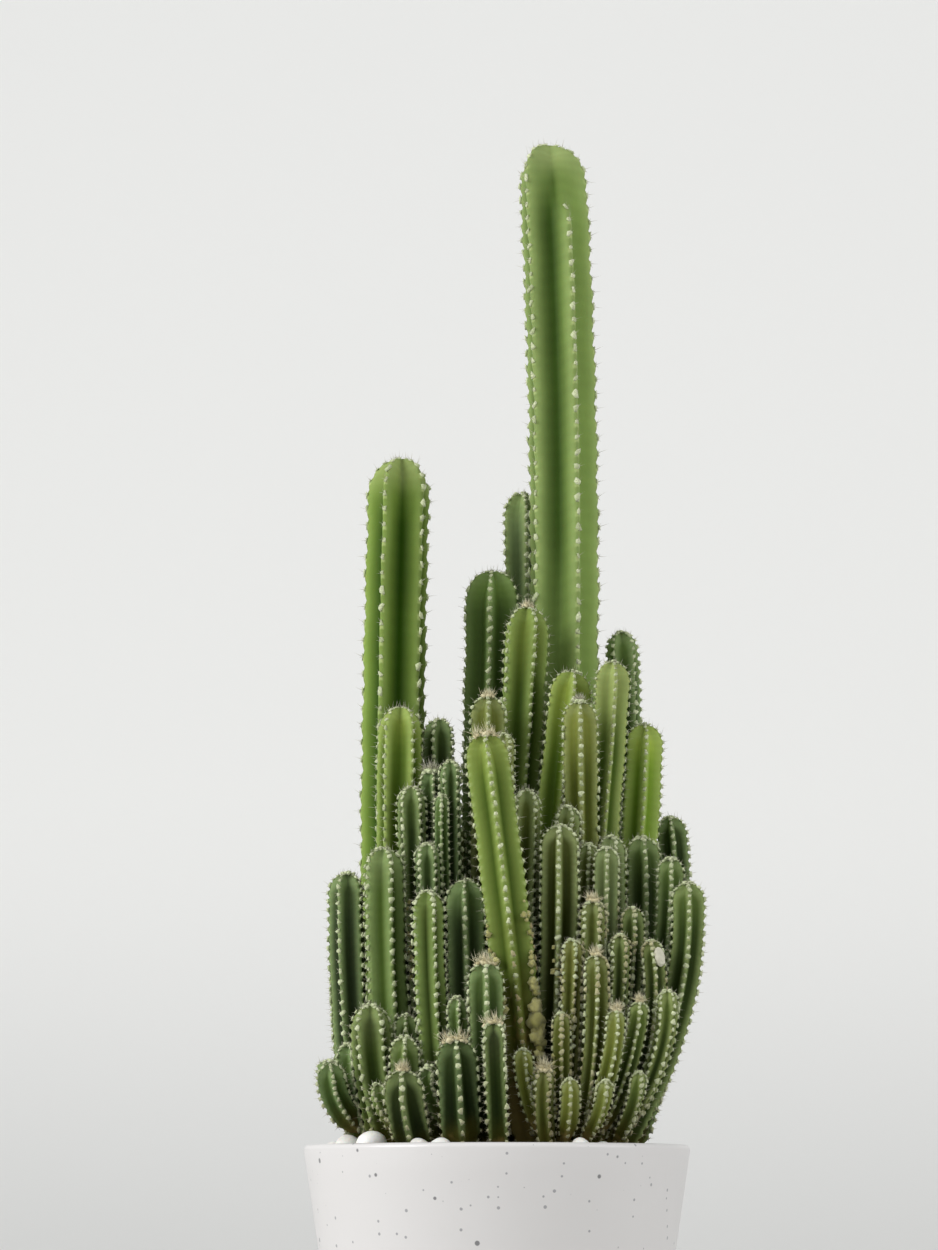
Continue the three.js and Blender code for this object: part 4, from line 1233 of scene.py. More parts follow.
def tufts_on(k, spots, rng):
    """One tuft at each areole of stem k."""
    places, normal, up = spots[:, :3], spots[:, 3:6], spots[:, 6:9]
    side = np.cross(up, normal)
    sizes = [np.interp(radius_of[k], list(TUFT_SIZES), one) for one in zip(*TUFT_SIZES.values())]
    wide_by, tall_by, deep_by = np.array(sizes) * rows[k].get("tuft", 1)
    young = YOUNG_TUFT + (1 - YOUNG_TUFT) * smooth(spots[:, 9] / YOUNG_TUFT_COUNT)
    dry = dryness(k, places)
    scale = young * rng.uniform(*TUFT_SPREAD, len(spots)) * (1 + DRY_GROWTH * dry)
    tilt = rng.uniform(-TUFT_TILT, TUFT_TILT, len(spots))[:, None]
    wide, tall = side * np.cos(tilt) + up * np.sin(tilt), up * np.cos(tilt) - side * np.sin(tilt)
    places = places + side * rng.uniform(-TUFT_STRAY, TUFT_STRAY, len(spots))[:, None]
    axes = np.stack([wide * wide_by, tall * tall_by, normal * deep_by], axis=1) * scale[:, None, None]
    which = rng.integers(0, len(TUFTS), len(spots))
    own = rng.random(len(spots))
    return copies("wool", TUFTS, which, places, axes, WOOL, own=own, above_foot=above_soil(places), dry=dry)


print("tufts are given for stems with radii of", list(TUFT_SIZES), "mm")

# %% Spines of a stem
SPINE_HALF_WIDTH = 0.17
SLIM_RADIUS = 6
RADIAL_TURN = 0.3
RADIAL_LIFT = 0.55
RADIAL_LIFT_SPREAD = 0.25
RADIAL_LENGTH = (1.9, 0.055)
CENTRAL_RISE = 0.25
CENTRAL_SPREAD = 0.35
CENTRAL_LENGTH = (2.4, 0.17)
SPINE_SPREAD = (0.75, 1.2)


def thorns(name, roots, directions_out, lengths, half_width, rng, material):
    """Spines that stand on these roots."""
    z = unit(directions_out)
    x = unit(np.cross(z, rng.normal(size=z.shape)))
    y = np.cross(z, x)
    axes = np.stack([x * half_width, y * half_width, z * lengths[:, None]], axis=1)
    which = np.zeros(len(roots), int)
    own = rng.random(len(roots))
    return copies(name, [THORN], which, roots, axes, material, own=own, above_foot=above_soil(roots))


def radial_count(k):
    """How many spines lie round an areole of stem k."""
    return 5 if radius_of[k] > STOUT_RADIUS else 3 if radius_of[k] < SLIM_RADIUS else 4


def spines_on(k, spots, rng):
    """A star of spines at each areole of stem k, and one spine that stands up in its middle."""
    radials = radial_count(k)
    n = len(spots)
    turn = (np.arange(radials) + 0.5) / radials * 2 * math.pi
    turn = turn + rng.uniform(-RADIAL_TURN, RADIAL_TURN, (n, radials))
    normal, up = spots[:, None, 3:6], spots[:, None, 6:9]
    side = np.cross(up, normal)
    lift = RADIAL_LIFT + rng.uniform(-RADIAL_LIFT_SPREAD, RADIAL_LIFT_SPREAD, (n, radials, 1))
    radial = np.cos(turn)[..., None] * side + np.sin(turn)[..., None] * up + lift * normal
    central = normal + rng.uniform(-CENTRAL_SPREAD, CENTRAL_SPREAD, (n, 1, 3)) + CENTRAL_RISE * up
    usual = [RADIAL_LENGTH[0] + RADIAL_LENGTH[1] * radius_of[k]] * radials
    usual += [CENTRAL_LENGTH[0] + CENTRAL_LENGTH[1] * radius_of[k]]
    lengths = np.array(usual) * rng.uniform(*SPINE_SPREAD, (n, radials + 1))
    roots = np.repeat(spots[:, :3], radials + 1, axis=0)
    out = np.concatenate([radial, central], axis=1).reshape(-1, 3)
    return thorns("spines", roots, out, lengths.ravel(), SPINE_HALF_WIDTH, rng, SPINE)


print("spines shown by an areole", radial_count(0) + 1, "on the tallest stem")

# %% [markdown]
# Some tips have flowered or have been knocked, and carry a crown of longer tan or cream spines on a woolly
# cushion. The other slim stems have only a small cream cap of wool over the growing point.

# %% Crown of a tip
CROWN_SPINES = 96
CROWN_TUFTS = 26
CROWN_LENGTH = (4.5, 9.0)
CROWN_LEAST = 0.4
CROWN_SPREAD = (0.05, 1.35)
CROWN_REACH = 0.6
CROWN_WOOL = (1.0, 2.1)
CROWN_WOOL_LEAST = 0.5
CROWN_THICKNESS = 1.2
CAP_TUFTS = 8
CAP_REACH = 0.42
CAP_WOOL = (0.7, 1.3)
CAP_MOST_RADIUS = 12.5
CUSHION_LIFT = 0.4
CUSHION_FLATNESS = 0.8


def cushion_on(k, count, reach, sizes, wool, rng):
    """A woolly cushion over the growing tip, and where its tufts are."""
    middle, rise, right, away = directions(k, LINES[k][1][-1:])
    around = rng.uniform(0, 2 * math.pi, count)
    out = reach * radius_of[k] * np.sqrt(rng.random(count))
    flat = np.cos(around)[:, None] * right + np.sin(around)[:, None] * away
    drop = DOME_SHARE * radius_of[k] * (1 - np.sqrt(1 - (out / radius_of[k]) ** 2))
    places = middle + flat * out[:, None] - rise * (drop[:, None] - CUSHION_LIFT)
    size = rng.uniform(*sizes, count)[:, None, None]
    axes = [np.broadcast_to(d, places.shape) for d in (right, away, rise * CUSHION_FLATNESS)]
    axes = np.stack(axes, axis=1) * size
    which = rng.integers(0, len(TUFTS), count)
    return places, copies("crown", TUFTS, which, places, axes, wool, own=rng.random(count), above_foot=1.0)


def crown_on(k, kind, rng):
    """A cushion with a burst of spines, all tan or all cream."""
    _, rise, right, away = directions(k, LINES[k][1][-1:])
    wool, spine = {"tan": (TAN_WOOL, TAN_SPINE), "cream": (WOOL, SPINE)}[kind]
    share = rows[k].get("crown_size", 1)
    sizes = np.array(CROWN_WOOL) * (CROWN_WOOL_LEAST + (1 - CROWN_WOOL_LEAST) * share)
    places, cushion = cushion_on(k, CROWN_TUFTS, CROWN_REACH * share, sizes, wool, rng)
    picks = rng.integers(0, CROWN_TUFTS, CROWN_SPINES)
    around = rng.uniform(0, 2 * math.pi, CROWN_SPINES)
    spread = rng.uniform(*CROWN_SPREAD, CROWN_SPINES)
    lean = np.cos(around)[:, None] * right + np.sin(around)[:, None] * away
    aim = np.sin(spread)[:, None] * lean + np.cos(spread)[:, None] * rise
    lengths = rng.uniform(*CROWN_LENGTH, CROWN_SPINES) * (CROWN_LEAST + (1 - CROWN_LEAST) * share)
    thickness = SPINE_HALF_WIDTH * CROWN_THICKNESS
    return [cushion, thorns("burst", places[picks], aim, lengths, thickness, rng, spine)]


print("crowns on", [p["node"] for p in PLANTS if "crown" in p])

# %% [markdown]
# Down both sides of the leaning stem, and in a few spots on three others, the old areoles have swollen into
# yellow corky lumps. They are rough balls with more faces than a tuft, and they grow larger towards the base.
# Each row of lumps has the rib it follows, its lowest and highest place, and the size of its largest lump.

# %% Corky lumps
LUMP_UNEVENNESS = 0.42
LUMP_SEEDS = (11, 12, 13)
LUMP_STEP = 3.4
LUMP_STRAY = 2.2
LUMP_TURN = 0.3
LUMP_SPREAD = (0.4, 1.15)
LUMP_AT_TOP = 0.6
LUMP_SUNKEN = 0.25
LUMP_SHAPE = (1.0, 0.9, 0.8)
CORKY_RIBS = {
    "stem_leaning": [(0.86, 214, 306, 3.8), (4.14, 236, 300, 3.4), (0.8, 234, 262, 5.4)],
    "stem_left_slim": [(4, 272, 318, 2.0)],
    "stem_fan_low": [(3, 196, 240, 2.0)],
    "stem_dotted": [(0, 268, 290, 1.8)],
}
LUMPS = [rough_ball(2, LUMP_UNEVENNESS, seed) for seed in LUMP_SEEDS]


def lumps_on(k, node, rng):
    """The corky lumps of stem k, all in one piece."""
    found = []
    shares, lengths = LINES[k]
    for rib, low, high, size in CORKY_RIBS[node]:
        z = np.arange(low, high, LUMP_STEP)
        z = z + rng.uniform(-LUMP_STRAY, LUMP_STRAY, len(z))
        along = np.interp((z - low_of[k]) / height_of[k], shares, lengths)
        middle, rise, right, away = directions(k, along)
        angle = math.radians(rows[k]["turn"]) + rib * 2 * math.pi / rows[k]["ribs"]
        angle = angle + rng.uniform(-LUMP_TURN, LUMP_TURN, len(z))
        normal = outward(right, away, angle)
        full, _ = crest_out(k, along, 0)
        big = size * rng.uniform(*LUMP_SPREAD, len(z))
        big = big * (LUMP_AT_TOP + (1 - LUMP_AT_TOP) * smooth((high - z) / (high - low)))
        found.append((middle + normal * (full - LUMP_SUNKEN * big)[:, None], normal, rise, big))
    places, normal, up, big = (np.concatenate(part) for part in zip(*found))
    ways = (np.cross(up, normal), up, normal)
    axes = np.stack([way * share for way, share in zip(ways, LUMP_SHAPE)], axis=1) * big[:, None, None]
    which = rng.integers(0, len(LUMPS), len(places))
    return copies("lumps", LUMPS, which, places, axes, CORK, own=rng.random(len(places)), above_foot=1.0)


print("faces of a lump", len(LUMPS[0][1]))

# %% Build every plant
FIRST_SEED = 1000


def stand_in(piece, node):
    """Lets a fine piece take the place of its solid, fixed to the root."""
    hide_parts(node)
    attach(piece, "root")


def build_plant(number, plant):
    """Builds one plant with its shoots as a single piece, in place of its node."""
    rng = np.random.default_rng(FIRST_SEED + number)
    parts = []
    for k in np.flatnonzero(plant_of == number):
        flesh = stem_flesh(k)
        flesh.data.materials.append(SKINS[SLOT_OF[plant["node"]]])
        spots = tuft_places(k)
        parts += [flesh, tufts_on(k, spots, rng), spines_on(k, spots, rng)]
        if "crown" in rows[k]:
            parts += crown_on(k, rows[k]["crown"], rng)
        elif radius_of[k] < CAP_MOST_RADIUS:
            parts.append(cushion_on(k, CAP_TUFTS, CAP_REACH, CAP_WOOL, WOOL, rng)[1])
        if plant["node"] in CORKY_RIBS and not is_shoot[k]:
            parts.append(lumps_on(k, plant["node"], rng))
    choose(*parts)
    bpy.ops.object.join()
    piece = bpy.context.object
    piece.name = plant["node"].replace("stem_", "cactus_")
    stand_in(piece, plant["node"])
    return piece


def box_gap(piece, node):
    """How far the corners of a piece's box are from those of its node, in millimetres."""
    places = np.array([v.co for v in piece.data.vertices])
    low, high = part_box(node)
    return np.array([places.min(axis=0) - np.array(low), places.max(axis=0) - np.array(high)]) / MM


plants = [build_plant(number, plant) for number, plant in enumerate(PLANTS)]
gaps = np.array([box_gap(piece, plant["node"]) for piece, plant in zip(plants, PLANTS)])
print("stem triangles", sum(len(piece.data.polygons) for piece in plants))
print("widest box gap mm", round(float(np.abs(gaps).max()), 1))

# %% [markdown]
# The pot
#
# A ceramic pot is thrown or cast as a turned shape. Here one circle is drawn up the outside, over the rim and
# down the inside with extrude and resize, as a potter's profile would be. The foot, the rim and the inner
# corner are rounded in the profile itself. The drain holes are cut with a boolean.

# %% Turned pot
POT_HEIGHT = 180
RIM_RADIUS = 106
FOOT_RADIUS = 78
WALL = 7
FLOOR = 9
POT_SIDES = 128
FOOT_EDGE = 2.4
LIP_EDGE = 2.6
INNER_CORNER = 4
CORNER_STEPS = 5
LIP_STEPS = 7
WALL_STEPS = 14
SHARP_TURN = math.radians(35)
DRAIN_RADIUS = 5
DRAIN_PLACE = 38
DRAIN_HOLES = 3
DRAIN_SIDES = 32


def arc_points(centre, radius, start, end, steps):
    """Points of a rounded edge in the profile, as distance out and height."""
    angles = np.radians(np.linspace(start, end, steps))
    return [(centre[0] + radius * math.cos(a), centre[1] + radius * math.sin(a)) for a in angles]


def turn_up(name, profile, sides):
    """Draws a circle along a profile of distances out and heights, and closes its two ends."""
    start_clean()
    out, height = profile[0]
    bpy.ops.mesh.primitive_circle_add(
        vertices=sides, radius=out * MM, fill_type="NGON", location=(0, 0, height * MM)
    )
    piece = bpy.context.object
    piece.name = name
    bpy.ops.object.transform_apply(location=True)
    bpy.ops.object.mode_set(mode="EDIT")
    bpy.ops.mesh.select_all(action="SELECT")
    for new_out, new_height in profile[1:]:
        share = new_out / out
        bpy.ops.mesh.extrude_region_move(TRANSFORM_OT_translate={"value": (0, 0, (new_height - height) * MM)})
        bpy.ops.transform.resize(value=(share, share, 1), center_override=(0, 0, new_height * MM))
        out, height = new_out, new_height
    bpy.ops.mesh.select_all(action="SELECT")
    bpy.ops.mesh.normals_make_consistent(inside=False)
    bpy.ops.object.mode_set(mode="OBJECT")
    return piece


def drill(piece, place, radius, low, high):
    """Cuts a round hole straight through."""
    start_clean()
    bpy.ops.mesh.primitive_cylinder_add(
        vertices=DRAIN_SIDES, radius=radius * MM, depth=(high - low) * MM,
        location=(place[0] * MM, place[1] * MM, (low + high) / 2 * MM),
    )
    cutter = bpy.context.object
    choose(piece)
    hole = piece.modifiers.new("hole", "BOOLEAN")
    hole.object = cutter
    hole.solver = "EXACT"
    bpy.ops.object.modifier_apply(modifier="hole")
    bpy.data.objects.remove(cutter)


def turned_pot():
    """The whole pot, with its drain holes."""
    lip_height = POT_HEIGHT - LIP_EDGE
    corner_centre = (FOOT_RADIUS - WALL - INNER_CORNER, FLOOR + INNER_CORNER)
    foot = arc_points((FOOT_RADIUS - FOOT_EDGE, FOOT_EDGE), FOOT_EDGE, -90, 0, CORNER_STEPS)
    lip = arc_points((RIM_RADIUS - LIP_EDGE, lip_height), LIP_EDGE, 0, 90, LIP_STEPS)
    inner_lip = arc_points((RIM_RADIUS - WALL + LIP_EDGE, lip_height), LIP_EDGE, 90, 180, LIP_STEPS)
    corner = arc_points(corner_centre, INNER_CORNER, 0, -90, CORNER_STEPS)
    wall = [
        (FOOT_RADIUS + (RIM_RADIUS - FOOT_RADIUS) * t, FOOT_EDGE + (POT_HEIGHT - LIP_EDGE - FOOT_EDGE) * t)
        for t in np.linspace(0, 1, WALL_STEPS)[1:-1]
    ]
    piece = turn_up("glazed_pot", [*foot, *wall, *lip, *inner_lip, *corner], POT_SIDES)
    for number in range(DRAIN_HOLES):
        angle = math.pi / 2 + number * 2 * math.pi / DRAIN_HOLES
        place = (DRAIN_PLACE * math.cos(angle), DRAIN_PLACE * math.sin(angle))
        drill(piece, place, DRAIN_RADIUS, -1, FLOOR + 1)
    choose(piece)
    bpy.ops.object.shade_smooth_by_angle(angle=SHARP_TURN)
    stand_in(piece, "pot")
    return piece


pot = turned_pot()
print("pot faces", len(pot.data.polygons), "gap mm", box_gap(pot, "pot").round(2).tolist())

# %% [markdown]
# The glaze is a satin white with small dark specks of iron that have melted through it. Each speck is the
# middle of a cell in a Voronoi pattern, and the cell's own random colour decides how large the speck is and
# whether it shows at all. There are some large dark specks and many small grey ones.

# %% Speckled glaze
SPECKS = (
    {"scale": 95, "least": 0.62, "size": 0.14, "colour": (92, 92, 94)},
    {"scale": 210, "least": 0.5, "size": 0.2, "colour": (140, 140, 142)},
)
SPECK_EDGE = (-0.02, 0.03)
SPECK_SHARE = 0.85


def speckled_glaze():
    """White glaze with large and small specks."""
    finish = Finish("speckled_white_glaze", 0.34)
    colour = finish.mix(finish.noise(9, 4), paint(209, 207, 206), paint(202, 199, 197))
    for speck in SPECKS:
        cell = finish.cells(speck["scale"])
        own = finish.add("ShaderNodeSeparateColor", Color=cell["Color"]).outputs[0]
        reach = finish.times(finish.between(own, speck["least"], 1.0), speck["size"])
        inside = finish.between(finish.less(reach, cell["Distance"]), *SPECK_EDGE)
        colour = finish.mix(finish.times(inside, SPECK_SHARE), colour, paint(*speck["colour"]))
    smear = finish.noise(26, 3, (1, 1, 0.4))
    rough = finish.plus(finish.times(smear, 0.16), 0.26)
    finish.set(finish.shader, {"Base Color": colour, "Roughness": rough, "Coat Weight": 0.15})
    wavy = finish.plus(smear, finish.times(finish.noise(420, 2), 0.06))
    finish.relief(wavy, 0.0012, 0.35)
    return finish.material


pot.data.materials.append(speckled_glaze())
print("glaze on", pot.name)

# %% [markdown]
# Soil and crumbs
#
# The soil fills the pot to just below its rim. Its top is a disc that is pushed up and down by noise, and
# loose crumbs of bark and soil, with a few white grains of perlite, are scattered on it wherever no stem
# stands.

# %% Soil
GAP = 0.3
SOIL_SIDES = 96
SOIL_RINGS = 32
SOIL_DROP = 1.2
SOIL_CORNER = 4
SOIL_EDGE_DROP = 1
SOIL_ROUGHNESS = 1.7
BROAD_SCALE = 0.045
BROAD_LAYER = 3.0
BROAD_SHARE = 0.7
FINE_SCALE = 0.16
FINE_LAYER = 8.0
FINE_SHARE = 0.45


def inside_at(height):
    """How far out the soil reaches at a height, just short of the pot's wall."""
    share = (height - FLOOR) / (POT_HEIGHT - FLOOR)
    return FOOT_RADIUS - WALL + (RIM_RADIUS - FOOT_RADIUS) * share - 3 * GAP


def soil_height(x, y):
    """The uneven top of the soil, in millimetres."""
    broad = cloud.noise(Vector((x * BROAD_SCALE, y * BROAD_SCALE, BROAD_LAYER)))
    fine = cloud.fractal(Vector((x * FINE_SCALE, y * FINE_SCALE, FINE_LAYER)), 1.0, 2.0, 4)
    return SOIL_TOP - SOIL_DROP + SOIL_ROUGHNESS * (BROAD_SHARE * broad + FINE_SHARE * fine)


def soil_block():
    """The closed block of soil. Its profile runs along the bottom, up the wall and in over the uneven top."""
    low, high = FLOOR + GAP, SOIL_TOP - SOIL_DROP
    edge, above_corner = inside_at(high), low + SOIL_CORNER
    profile = [(0, low), (inside_at(low) - SOIL_CORNER, low)]
    profile += [(inside_at(above_corner), above_corner), (edge, high - SOIL_EDGE_DROP)]
    profile += [(edge * (1 - t), None) for t in np.linspace(0, 1, SOIL_RINGS)]
    angles = np.linspace(0, 2 * math.pi, SOIL_SIDES + 1)
    places = np.zeros((len(profile), len(angles), 3))
    for i, (out, height) in enumerate(profile):
        for j, angle in enumerate(angles % (2 * math.pi)):
            x, y = out * math.cos(angle), out * math.sin(angle)
            places[i, j] = (x, y, soil_height(x, y) if height is None else height)
    piece = wrap_grid("potting_soil", SOIL_SIDES, len(profile) - 1)
    set_places(piece, places)
    weld(piece)
    stand_in(piece, "soil")
    return piece


def soil_finish():
    """Dark soil with a few paler bits."""
    finish = Finish("damp_soil", 0.95)
    lumps = finish.noise(420, 6)
    colour = finish.mix(finish.between(lumps, 0.35, 0.7), paint(34, 28, 22), paint(84, 68, 52))
    bits = finish.cells(700)
    own = finish.add("ShaderNodeSeparateColor", Color=bits["Color"])
    colour = finish.mix(finish.between(own.outputs[0], 0.86, 0.96), colour, paint(122, 104, 82))
    finish.set(finish.shader, {"Base Color": colour})
    finish.relief(finish.plus(lumps, bits["Distance"]), 0.0015, 0.9)
    return finish.material


soil = soil_block()
soil.data.materials.append(soil_finish())
print("soil faces", len(soil.data.polygons))

# %% [markdown]
# White pebbles
#
# White pebbles lie on the soil round the wall, and five of them rise above the rim at the front. Six pebble
# shapes are worn from a sphere, smoothed, and copied with a random size and turn. A pebble is laid only
# where the stems and the other pebbles leave it room.

# %% Shapes of pebbles
PEBBLE_KINDS = 6
PEBBLE_UNEVENNESS = 0.26


def worn_pebble(seed):
    """A pebble with a radius of 1 in each of its three directions."""
    start_clean()
    bpy.ops.mesh.primitive_ico_sphere_add(subdivisions=2, radius=1)
    piece = bpy.context.object
    bpy.ops.object.mode_set(mode="EDIT")
    bpy.ops.mesh.select_all(action="SELECT")
    bpy.ops.transform.vertex_random(offset=PEBBLE_UNEVENNESS, uniform=0.3, normal=0.8, seed=seed)
    bpy.ops.mesh.vertices_smooth(factor=0.5, repeat=2)
    bpy.ops.object.mode_set(mode="OBJECT")
    finer = piece.modifiers.new("finer", "SUBSURF")
    finer.levels = finer.render_levels = 1
    bpy.ops.object.modifier_apply(modifier="finer")
    corners, faces = triangles_of(piece)
    return corners / np.abs(corners).max(axis=0), faces


PEBBLES = [worn_pebble(seed) for seed in range(PEBBLE_KINDS)]
print("faces of a pebble", len(PEBBLES[0][1]))

# %% Lay the pebbles
FRONT_PEBBLES = [(-80, -38, 7.8), (-67, -59, 8.6), (-41, -80.5, 6.4), (-31, -84.5, 6.6), (43.5, -79.5, 6.6)]
FRONT_FLATNESS = 0.95
PEBBLE_FLATNESS = 0.74
FLATNESS_SPREAD = (0.85, 1.1)
PEBBLE_TRIES = 2600
PEBBLE_SIZES = (4.0, 8.2)
BED_REACH = 62
WALL_FAVOUR = 1.6
PEBBLE_OVERLAP = 0.88
STEM_OVERLAP = 0.97
PEBBLE_LEVELS = (2, 5, 8, 11, 14)
LEVEL_MARGIN = 2


def stems_at(height):
    """Where the stems are at a height: middles in plan and how far each reaches."""
    t = (height - low_of) / height_of
    stands = np.flatnonzero((t > 0) & (t < 1))
    plan = curve_through(foot_of[stands], knee_of[stands], tip_of[stands], t[stands, None])
    reach = radius_of[stands] * width_share(height - low_of[stands], height_of[stands], radius_of[stands])
    return plan, reach + tooth_height(radius_of[stands])


def laid_pebbles(rng):
    """The pebbles that find room, as rows of place in plan, radius and flatness."""
    stems = [stems_at(SOIL_TOP + level) for level in PEBBLE_LEVELS]
    laid = [(x, y, radius, FRONT_FLATNESS) for x, y, radius in FRONT_PEBBLES]
    for _ in range(PEBBLE_TRIES):
        radius = rng.uniform(*PEBBLE_SIZES)
        flatness = PEBBLE_FLATNESS * rng.uniform(*FLATNESS_SPREAD)
        inwards = (inside_at(SOIL_TOP) - BED_REACH) * rng.random() ** WALL_FAVOUR
        out = inside_at(SOIL_TOP + radius) - radius - inwards
        angle = rng.uniform(0, 2 * math.pi)
        x, y = out * math.cos(angle), out * math.sin(angle)
        if any(math.hypot(x - a, y - b) < PEBBLE_OVERLAP * (radius + r) for a, b, r, _ in laid):
            continue
        top = 2 * radius * flatness + LEVEL_MARGIN
        near = [stem for stem, level in zip(stems, PEBBLE_LEVELS) if level < top]
        if all((np.hypot(*(plan - (x, y)).T) > reach + radius * STEM_OVERLAP).all() for plan, reach in near):
            laid.append((x, y, radius, flatness))
    return np.array(laid)


print("stems near the pebbles", len(stems_at(SOIL_TOP + PEBBLE_LEVELS[0])[1]))

# %% The bed of pebbles
BED_SEED = 5
PEBBLE_SUNK = 0.5
PEBBLE_TIP = 0.12
PEBBLE_SQUEEZE = (0.78, 1.0)


def pebble_bed():
    """All pebbles as one piece, and their rows."""
    rng = np.random.default_rng(BED_SEED)
    laid = laid_pebbles(rng)
    x, y, radius, flatness = laid.T
    z = SOIL_TOP - PEBBLE_SUNK + flatness * radius
    turn = rng.uniform(0, 2 * math.pi, len(laid))
    tip = rng.uniform(-PEBBLE_TIP, PEBBLE_TIP, (2, len(laid)))
    zero, one = np.zeros(len(laid)), np.ones(len(laid))
    long = np.stack([np.cos(turn), np.sin(turn), tip[0]], axis=1)
    wide = np.cross(np.stack([tip[1], zero, one], axis=1), long)
    up = np.cross(unit(long), unit(wide))
    squeeze = rng.uniform(*PEBBLE_SQUEEZE, len(laid))
    reaches = (radius, radius * squeeze, radius * flatness)
    axes = [way * reach[:, None] for way, reach in zip((unit(long), unit(wide), up), reaches)]
    axes = np.stack(axes, axis=1)
    which = rng.integers(0, PEBBLE_KINDS, len(laid))
    places = np.stack([x, y, z], axis=1)
    own = rng.random(len(laid))
    piece = copies("white_pebbles", PEBBLES, which, places, axes, pebble_finish(), own=own)
    stand_in(piece, "pebbles")
    return piece, laid


def pebble_finish():
    """Smooth white stone with faint veins."""
    finish = Finish("white_pebble", 0.42)
    colour = finish.mix(finish.reading("own"), paint(240, 239, 235), paint(222, 219, 211))
    vein = finish.between(finish.noise(130, 5), 0.52, 0.68)
    colour = finish.mix(finish.times(vein, 0.35), colour, paint(196, 192, 184))
    rough = finish.plus(finish.times(finish.noise(500, 3), 0.3), 0.3)
    finish.set(finish.shader, {"Base Color": colour, "Roughness": rough})
    finish.set(finish.shader, {"Subsurface Weight": 0.1, "Subsurface Scale": 0.004})
    finish.relief(finish.noise(700, 4), 0.0004, 0.5)
    return finish.material


pebbles, pebble_rows = pebble_bed()
print("pebbles", len(pebble_rows))

# %% Crumbs
CRUMBS = 600
CRUMB_SEED = 9
CRUMB_TRIES = 3
CRUMB_REACH = 0.97
CRUMB_SIZE = (0.6, 2.1)
CRUMB_VARIETY = 1.2
CRUMB_FLATNESS = 0.7
CRUMB_LIFT = 0.25
CRUMB_LEVEL = 1
STEM_SHARE = 0.8
ACROSS = (0.3, 0.2, 1)
PERLITE_SHARE = 0.16
MOST_BROWN = 0.6
PERLITE_EDGE = (0.7, 0.9)


def crumbs():
    """Loose crumbs on the soil, between the stems. A few are grains of perlite."""
    rng = np.random.default_rng(CRUMB_SEED)
    plan, reach = stems_at(SOIL_TOP + CRUMB_LEVEL)
    out = inside_at(SOIL_TOP) * np.sqrt(rng.random(CRUMBS * CRUMB_TRIES)) * CRUMB_REACH
    angle = rng.uniform(0, 2 * math.pi, CRUMBS * CRUMB_TRIES)
    spots = np.stack([out * np.cos(angle), out * np.sin(angle)], axis=1)
    free = (np.linalg.norm(spots[:, None] - plan, axis=2) > reach * STEM_SHARE).all(axis=1)
    spots = spots[free][:CRUMBS]
    size = rng.uniform(*CRUMB_SIZE, len(spots)) ** CRUMB_VARIETY
    z = np.array([soil_height(x, y) for x, y in spots]) + CRUMB_LIFT * size
    places = np.column_stack([spots, z])
    turns = unit(rng.normal(size=(len(spots), 3)))
    side = unit(np.cross(turns, ACROSS))
    axes = np.stack([turns, side, np.cross(turns, side) * CRUMB_FLATNESS], axis=1) * size[:, None, None]
    which = rng.integers(0, len(TUFTS), len(spots))
    white = rng.random(len(spots)) < PERLITE_SHARE
    own = np.where(white, 1, rng.uniform(0, MOST_BROWN, len(spots)))
    piece = copies("soil_crumbs", TUFTS, which, places, axes, crumb_finish(), own=own)
    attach(piece, "root")
    return piece


def crumb_finish():
    """Bark and soil, or white perlite where a crumb's own number is high."""
    finish = Finish("soil_crumb", 0.9)
    own = finish.reading("own")
    colour = finish.mix(finish.between(own, 0.0, MOST_BROWN), paint(48, 38, 30), paint(112, 90, 66))
    colour = finish.mix(finish.between(own, *PERLITE_EDGE), colour, paint(226, 222, 212))
    shade = finish.mix(finish.noise(900, 4), paint(170, 170, 170), paint(255, 255, 255))
    finish.set(finish.shader, {"Base Color": finish.mix(1.0, colour, shade, "MULTIPLY")})
    finish.relief(finish.noise(1200, 3), 0.0005, 0.8)
    return finish.material


print("crumb faces", len(crumbs().data.polygons))

# %% [markdown]
# A white chip
#
# A flake of white stone has fallen on the fan and stays caught in a furrow of one stem, between two rows of
# spines. It starts as a small box. In edit mode it is tapered towards its top, rounded, roughened and turned
# to face out of the furrow.

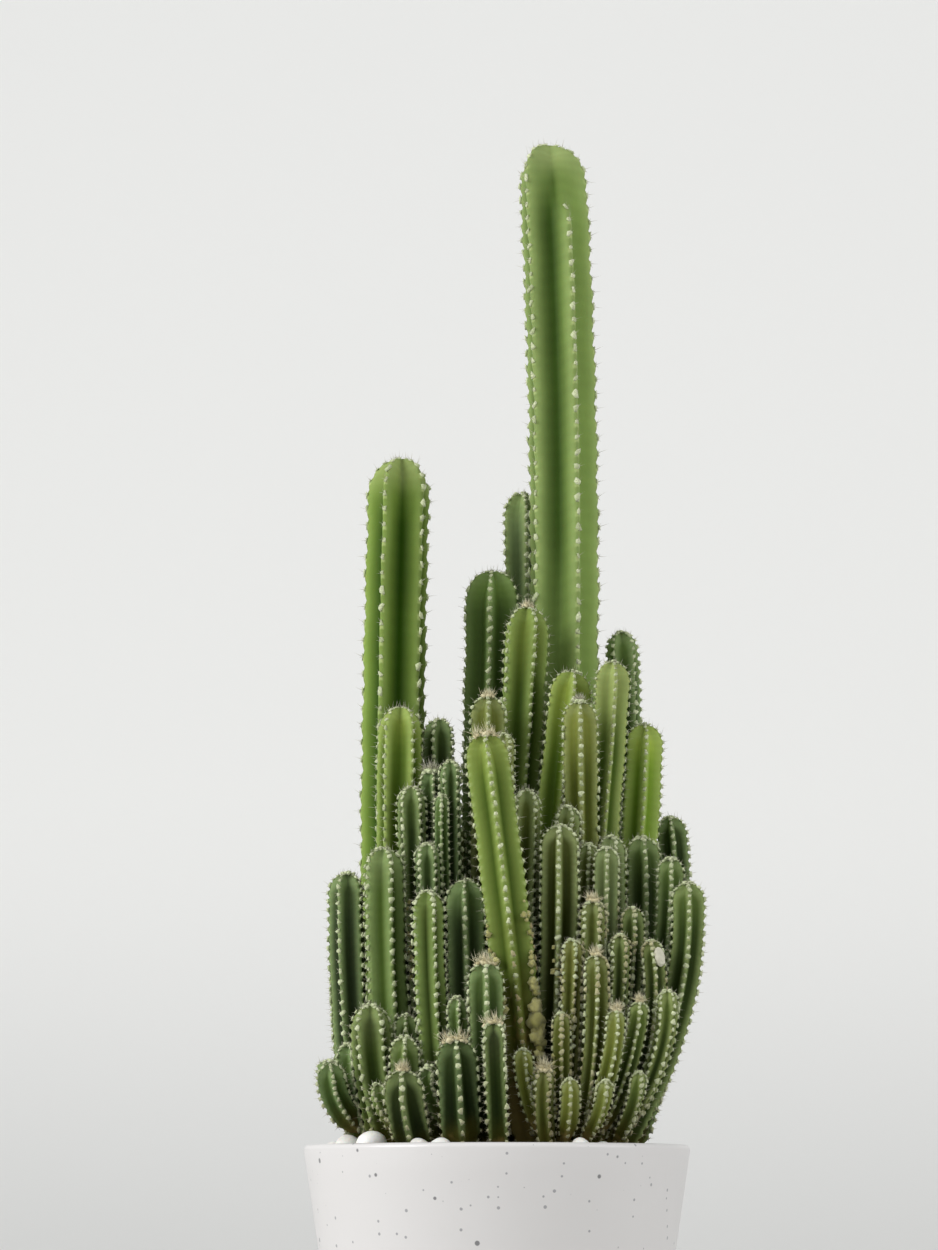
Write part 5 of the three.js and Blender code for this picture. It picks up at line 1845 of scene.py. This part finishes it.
# %% Chip caught in a furrow
CHIP_PLACE = (87.1, -54.1, 279.0)
CHIP_SIZE = (5.4, 3.0, 8.8)
CHIP_TAPER = {0.25: 0.82, 0.5: 0.55}
CHIP_TILT = math.radians(14)
CHIP_TURN = math.radians(36)
CHIP_CUTS = 3
CHIP_ROUNDNESS = 0.6
CHIP_UNEVENNESS = 0.07
CHIP_SHARP_TURN = math.radians(40)
SAME_LEVEL = 0.01


def white_chip():
    """The chip, shaped as a cube of size 1 and then scaled, turned and moved to its place."""
    start_clean()
    bpy.ops.mesh.primitive_cube_add(size=1, location=(0, 0, 0))
    piece = bpy.context.object
    piece.name = "white_chip"
    bpy.ops.object.mode_set(mode="EDIT")
    bpy.ops.mesh.select_all(action="SELECT")
    bpy.ops.mesh.subdivide(number_cuts=CHIP_CUTS)
    for level, share in CHIP_TAPER.items():
        bpy.ops.mesh.select_all(action="DESELECT")
        bpy.ops.object.mode_set(mode="OBJECT")
        for corner in piece.data.vertices:
            corner.select = abs(corner.co.z - level) < SAME_LEVEL
        bpy.ops.object.mode_set(mode="EDIT")
        bpy.ops.transform.resize(value=(share, share, 1), center_override=(0, 0, 0))
    bpy.ops.mesh.select_all(action="SELECT")
    bpy.ops.transform.tosphere(value=CHIP_ROUNDNESS, center_override=(0, 0, 0))
    bpy.ops.transform.vertex_random(offset=CHIP_UNEVENNESS, uniform=0.2, normal=0.4, seed=4)
    bpy.ops.transform.resize(value=[size * MM for size in CHIP_SIZE], center_override=(0, 0, 0))
    bpy.ops.transform.rotate(value=CHIP_TILT, orient_axis="Y", center_override=(0, 0, 0))
    bpy.ops.transform.rotate(value=-CHIP_TURN, orient_axis="Z", center_override=(0, 0, 0))
    bpy.ops.transform.translate(value=Vector(CHIP_PLACE) * MM)
    bpy.ops.object.mode_set(mode="OBJECT")
    bpy.ops.object.shade_smooth_by_angle(angle=CHIP_SHARP_TURN)
    piece.data.materials.append(chip_finish())
    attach(piece, "root")
    return piece


def chip_finish():
    """Dull chalky stone."""
    finish = Finish("cream_chalk", 0.8)
    colour = finish.mix(finish.noise(420, 4), paint(172, 169, 148), paint(218, 215, 196))
    finish.set(finish.shader, {"Base Color": colour})
    finish.relief(finish.noise(700, 4), 0.0006, 0.7)
    return finish.material


print("chip faces", len(white_chip().data.polygons))
